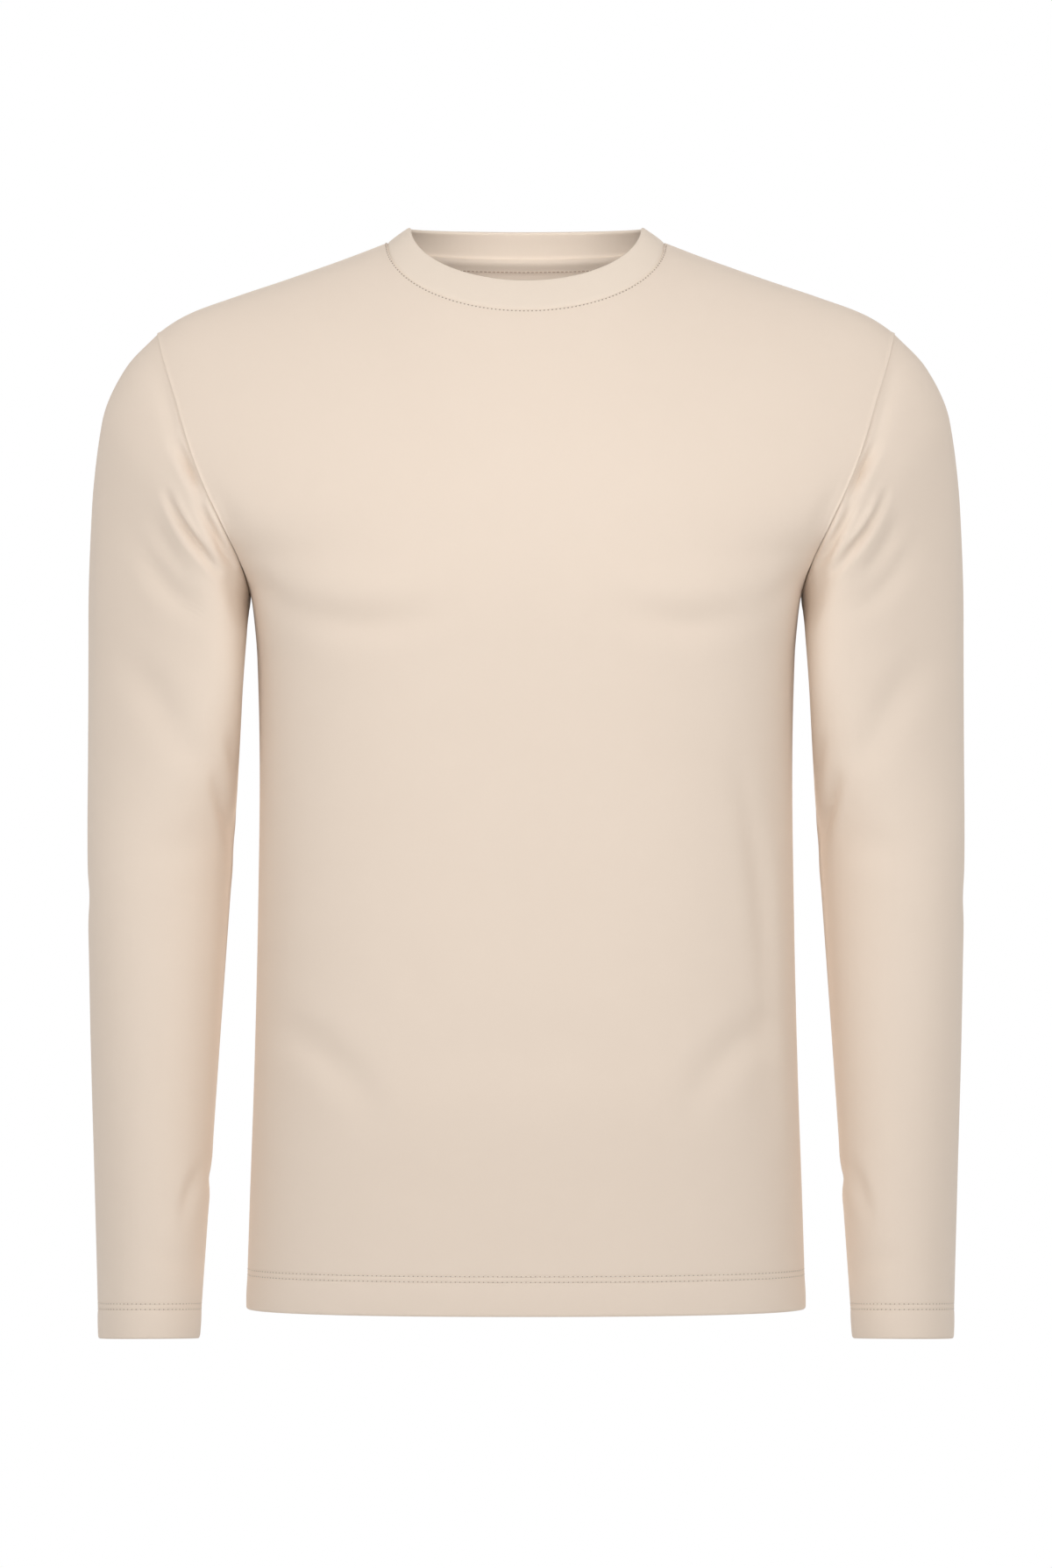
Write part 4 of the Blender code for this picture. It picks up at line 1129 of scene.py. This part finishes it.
def neck_line(side):
    """A line on a panel, a little below its neckline, and the normals there."""
    angles = np.radians(np.linspace(-ROW_END, ROW_END, ROW_POINTS))
    x = (NECK_HALF_WIDTH + NECK_ROW * ROW_SPREAD) * np.sin(angles)
    z = -NECK_DROP[side] * np.cos(angles) - NECK_ROW * np.maximum(np.cos(angles), ROW_LEAST)
    z = np.minimum(z, shoulder_at(x) - BELOW_SHOULDER)

    def on_panel(x, z):
        return np.stack([x, body_depth(x, z, side), z], axis=1)

    line = on_panel(x, z)
    across = on_panel(x + NORMAL_STEP, z) - on_panel(x - NORMAL_STEP, z)
    out = np.cross(across, line - on_panel(x, z - NORMAL_STEP))
    out /= np.linalg.norm(out, axis=1, keepdims=True)
    return line, out if out[len(out) // 2, 1] * OUTWARD[side] > 0 else -out


neck_lines = [neck_line(side) for side in ("front", "back")]
# the second list holds the needle holes, as dark spots of painted shade
threads["neckband"] = join_rows(
    "neck_seam_stitches",
    [sew(*line, pitch=NECK_PITCH, lift=NECK_LIFT) for line in neck_lines],
    [sew(*line, pitch=NECK_PITCH, start=0.0, shape=NECK_HOLE_SHADE_SHAPE) for line in neck_lines],
)
tape_line, tape_out = grids["neck_tape"][1], facing["neck_tape"][1]
# the tape's row is dark brown: partly its thread, partly painted shade under the tape's lower edge
threads["neck_tape"] = join_rows("neck_tape_stitches", [sew(tape_line, tape_out, pitch=TAPE_PITCH)])

# %% [markdown]
# ## Jersey
#
# Jersey is a fine knit. Its right side shows columns of small V shapes, about 14 to a centimetre, and
# its wrong side shows rows of small bars. From a step away that is only a soft grain, with slightly
# uneven yarn, and a faint bloom of loose fibres that catches light at the edges. So the colour is
# mixed from two close tones by noise, the bump is drawn from the UV map in metres, and sheen makes
# the bloom.

# %% Mix the jersey
SAND, SAND_DEEP = (0.800, 0.680, 0.573, 1.0), (0.770, 0.648, 0.539, 1.0)
BAND_SAND, BAND_SAND_DEEP = (0.812, 0.700, 0.592, 1.0), (0.785, 0.668, 0.556, 1.0)
TAPE_SAND, TAPE_SAND_DEEP = (0.800, 0.690, 0.585, 1.0), (0.770, 0.655, 0.548, 1.0)
BLOOM = (1.0, 0.93, 0.86, 1.0)  # the loose fibres' tint
WALE, COURSE = 0.00072, 0.00056  # width of a column of stitches, and height of a row
JERSEY_ROUGHNESS, JERSEY_SHINE = 0.86, 0.25
BLOOM_WEIGHT, BLOOM_ROUGHNESS = 0.18, 0.45
YARN_SCALE, CLOUD_SCALE = 900.0, 14.0
YARN_DETAIL, CLOUD_DETAIL = 2.0, 3.0
YARN_SHARE, CLOUD_SHARE = 0.55, 0.45  # of the mix of the two tones
YARN_RELIEF = 0.8  # height of the yarn's unevenness over that of a stitch
KNIT_BUMP, KNIT_HEIGHT = 0.35, 0.00012


def math_node(tree, operation, *values):
    """A Math node on one or two values, each a number or another node's output."""
    node = tree.nodes.new("ShaderNodeMath")
    node.operation = operation
    for socket, value in zip(node.inputs, values):
        if isinstance(value, (int, float)):
            socket.default_value = value
        else:
            tree.links.new(value, socket)
    return node.outputs["Value"]


def noise(tree, source, scale, detail):
    """A Noise node's grey tone at the places that a vector output gives."""
    node = tree.nodes.new("ShaderNodeTexNoise")
    node.inputs["Scale"].default_value = scale
    node.inputs["Detail"].default_value = detail
    tree.links.new(source, node.inputs["Vector"])
    return node.outputs["Fac"]


def knit_height(tree):
    """Height of the knit's V shapes, from the UV map in metres."""
    uv = tree.nodes.new("ShaderNodeUVMap")
    uv.uv_map = "cloth"
    split = tree.nodes.new("ShaderNodeSeparateXYZ")
    tree.links.new(uv.outputs["UV"], split.inputs["Vector"])
    across = math_node(tree, "FRACT", math_node(tree, "MULTIPLY", split.outputs["X"], 1 / WALE))
    leg = math_node(tree, "ABSOLUTE", math_node(tree, "SUBTRACT", across, 0.5))
    up = math_node(tree, "MULTIPLY", split.outputs["Y"], 1 / COURSE)
    slanted = math_node(tree, "FRACT", math_node(tree, "SUBTRACT", up, leg))
    bar = math_node(tree, "SINE", math_node(tree, "MULTIPLY", slanted, math.pi))
    rib = math_node(tree, "SINE", math_node(tree, "MULTIPLY", leg, 2 * math.pi))
    return math_node(tree, "MULTIPLY", bar, math_node(tree, "POWER", rib, 0.5)), uv.outputs["UV"]


def mix_colours(tree, factor, light, deep):
    """A Mix node's colour between two tones; its inputs 6 and 7 and its output 2 are colours."""
    node = tree.nodes.new("ShaderNodeMix")
    node.data_type = "RGBA"
    tree.links.new(factor, node.inputs["Factor"])
    node.inputs[6].default_value, node.inputs[7].default_value = light, deep
    return node.outputs[2]


def jersey(name, light, deep):
    """Knitted cloth, mottled between a light and a deep tone of one colour."""
    material = bpy.data.materials.new(name)
    material.use_nodes = True
    tree = material.node_tree
    shader = tree.nodes["Principled BSDF"]
    shader.inputs["Roughness"].default_value = JERSEY_ROUGHNESS
    shader.inputs["Specular IOR Level"].default_value = JERSEY_SHINE
    shader.inputs["Sheen Weight"].default_value = BLOOM_WEIGHT
    shader.inputs["Sheen Roughness"].default_value = BLOOM_ROUGHNESS
    shader.inputs["Sheen Tint"].default_value = BLOOM
    height, uv = knit_height(tree)
    place = tree.nodes.new("ShaderNodeTexCoord").outputs["Object"]
    yarn = noise(tree, uv, YARN_SCALE, YARN_DETAIL)
    cloud = noise(tree, place, CLOUD_SCALE, CLOUD_DETAIL)
    fine = math_node(tree, "MULTIPLY", yarn, YARN_SHARE)
    mottle = math_node(tree, "ADD", fine, math_node(tree, "MULTIPLY", cloud, CLOUD_SHARE))
    tree.links.new(mix_colours(tree, mottle, light, deep), shader.inputs["Base Color"])
    relief = math_node(tree, "ADD", height, math_node(tree, "MULTIPLY", yarn, YARN_RELIEF))
    bumper = tree.nodes.new("ShaderNodeBump")
    bumper.inputs["Strength"].default_value = KNIT_BUMP
    bumper.inputs["Distance"].default_value = KNIT_HEIGHT
    tree.links.new(relief, bumper.inputs["Height"])
    tree.links.new(bumper.outputs["Normal"], shader.inputs["Normal"])
    return material


body_jersey = jersey("sand jersey", SAND, SAND_DEEP)
band_jersey = jersey("sand jersey, neckband", BAND_SAND, BAND_SAND_DEEP)
tape_jersey = jersey("sand jersey, tape", TAPE_SAND, TAPE_SAND_DEEP)
print("materials", body_jersey.name, band_jersey.name, tape_jersey.name)

# %% [markdown]
# ## Thread
#
# The thread is spun polyester in the cloth's own colour, a shade lighter, with a slight gloss. The
# tape's row is dark brown, partly for its thread and partly as painted shade under the tape's lower
# edge. A needle hole is only a spot of shade, so its dark spot is painted shade, in a dull brown.

# %% Mix the thread
# the dark brown of the tape's row is partly thread and partly painted shade under the tape's edge
SAND_THREAD, BROWN_THREAD_AND_SHADE = (0.83, 0.73, 0.63, 1.0), (0.36, 0.26, 0.19, 1.0)
# the needle holes' dull brown is painted shade, not a colour of the cloth or thread
HOLE_PAINTED_SHADE = (0.40, 0.30, 0.23, 1.0)
THREAD_ROUGHNESS, THREAD_SHEEN = 0.55, 0.1
TWIST_SCALE, TWIST_DETAIL = 1500.0, 2.0
TWIST_DEEP = 0.86  # tone of the thread's dark side over that of its light side


def thread_material(name, colour):
    """Spun thread, with the darker tone of its twist worked out from its colour."""
    material = bpy.data.materials.new(name)
    material.use_nodes = True
    tree = material.node_tree
    shader = tree.nodes["Principled BSDF"]
    shader.inputs["Roughness"].default_value = THREAD_ROUGHNESS
    shader.inputs["Sheen Weight"].default_value = THREAD_SHEEN
    place = tree.nodes.new("ShaderNodeTexCoord").outputs["Object"]
    deep = tuple(c * TWIST_DEEP for c in colour[:3]) + (1.0,)
    twist = noise(tree, place, TWIST_SCALE, TWIST_DETAIL)
    tree.links.new(mix_colours(tree, twist, colour, deep), shader.inputs["Base Color"])
    return material


pale_thread = thread_material("sand thread", SAND_THREAD)
dark_thread_and_shade = thread_material("brown thread and shade", BROWN_THREAD_AND_SHADE)
# the needle holes' material is painted shade
hole_shade = thread_material("needle hole shade", HOLE_PAINTED_SHADE)
own_jersey = {"neckband": band_jersey, "neck_tape": tape_jersey}
for name, sheet in sheets.items():
    sheet.data.materials.append(own_jersey.get(name, body_jersey))
for name, thread in threads.items():
    # the tape's row takes the dark brown, partly thread and partly painted shade under its lower edge
    thread.data.materials.append(dark_thread_and_shade if name == "neck_tape" else pale_thread)
    # the second material paints the shade in the needle holes
    thread.data.materials.append(hole_shade)
print("threads", len(threads))

# %% [markdown]
# ## Put each sheet in place of its solid
#
# Each sheet stands for its solid, which is hidden, and rides with the part, and its threads go with
# it.

for name, sheet in sheets.items():
    thread = threads[name]
    for piece in (sheet, thread):
        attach(piece, "root")
    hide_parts(name)
print("sheets declared:", len(sheets))
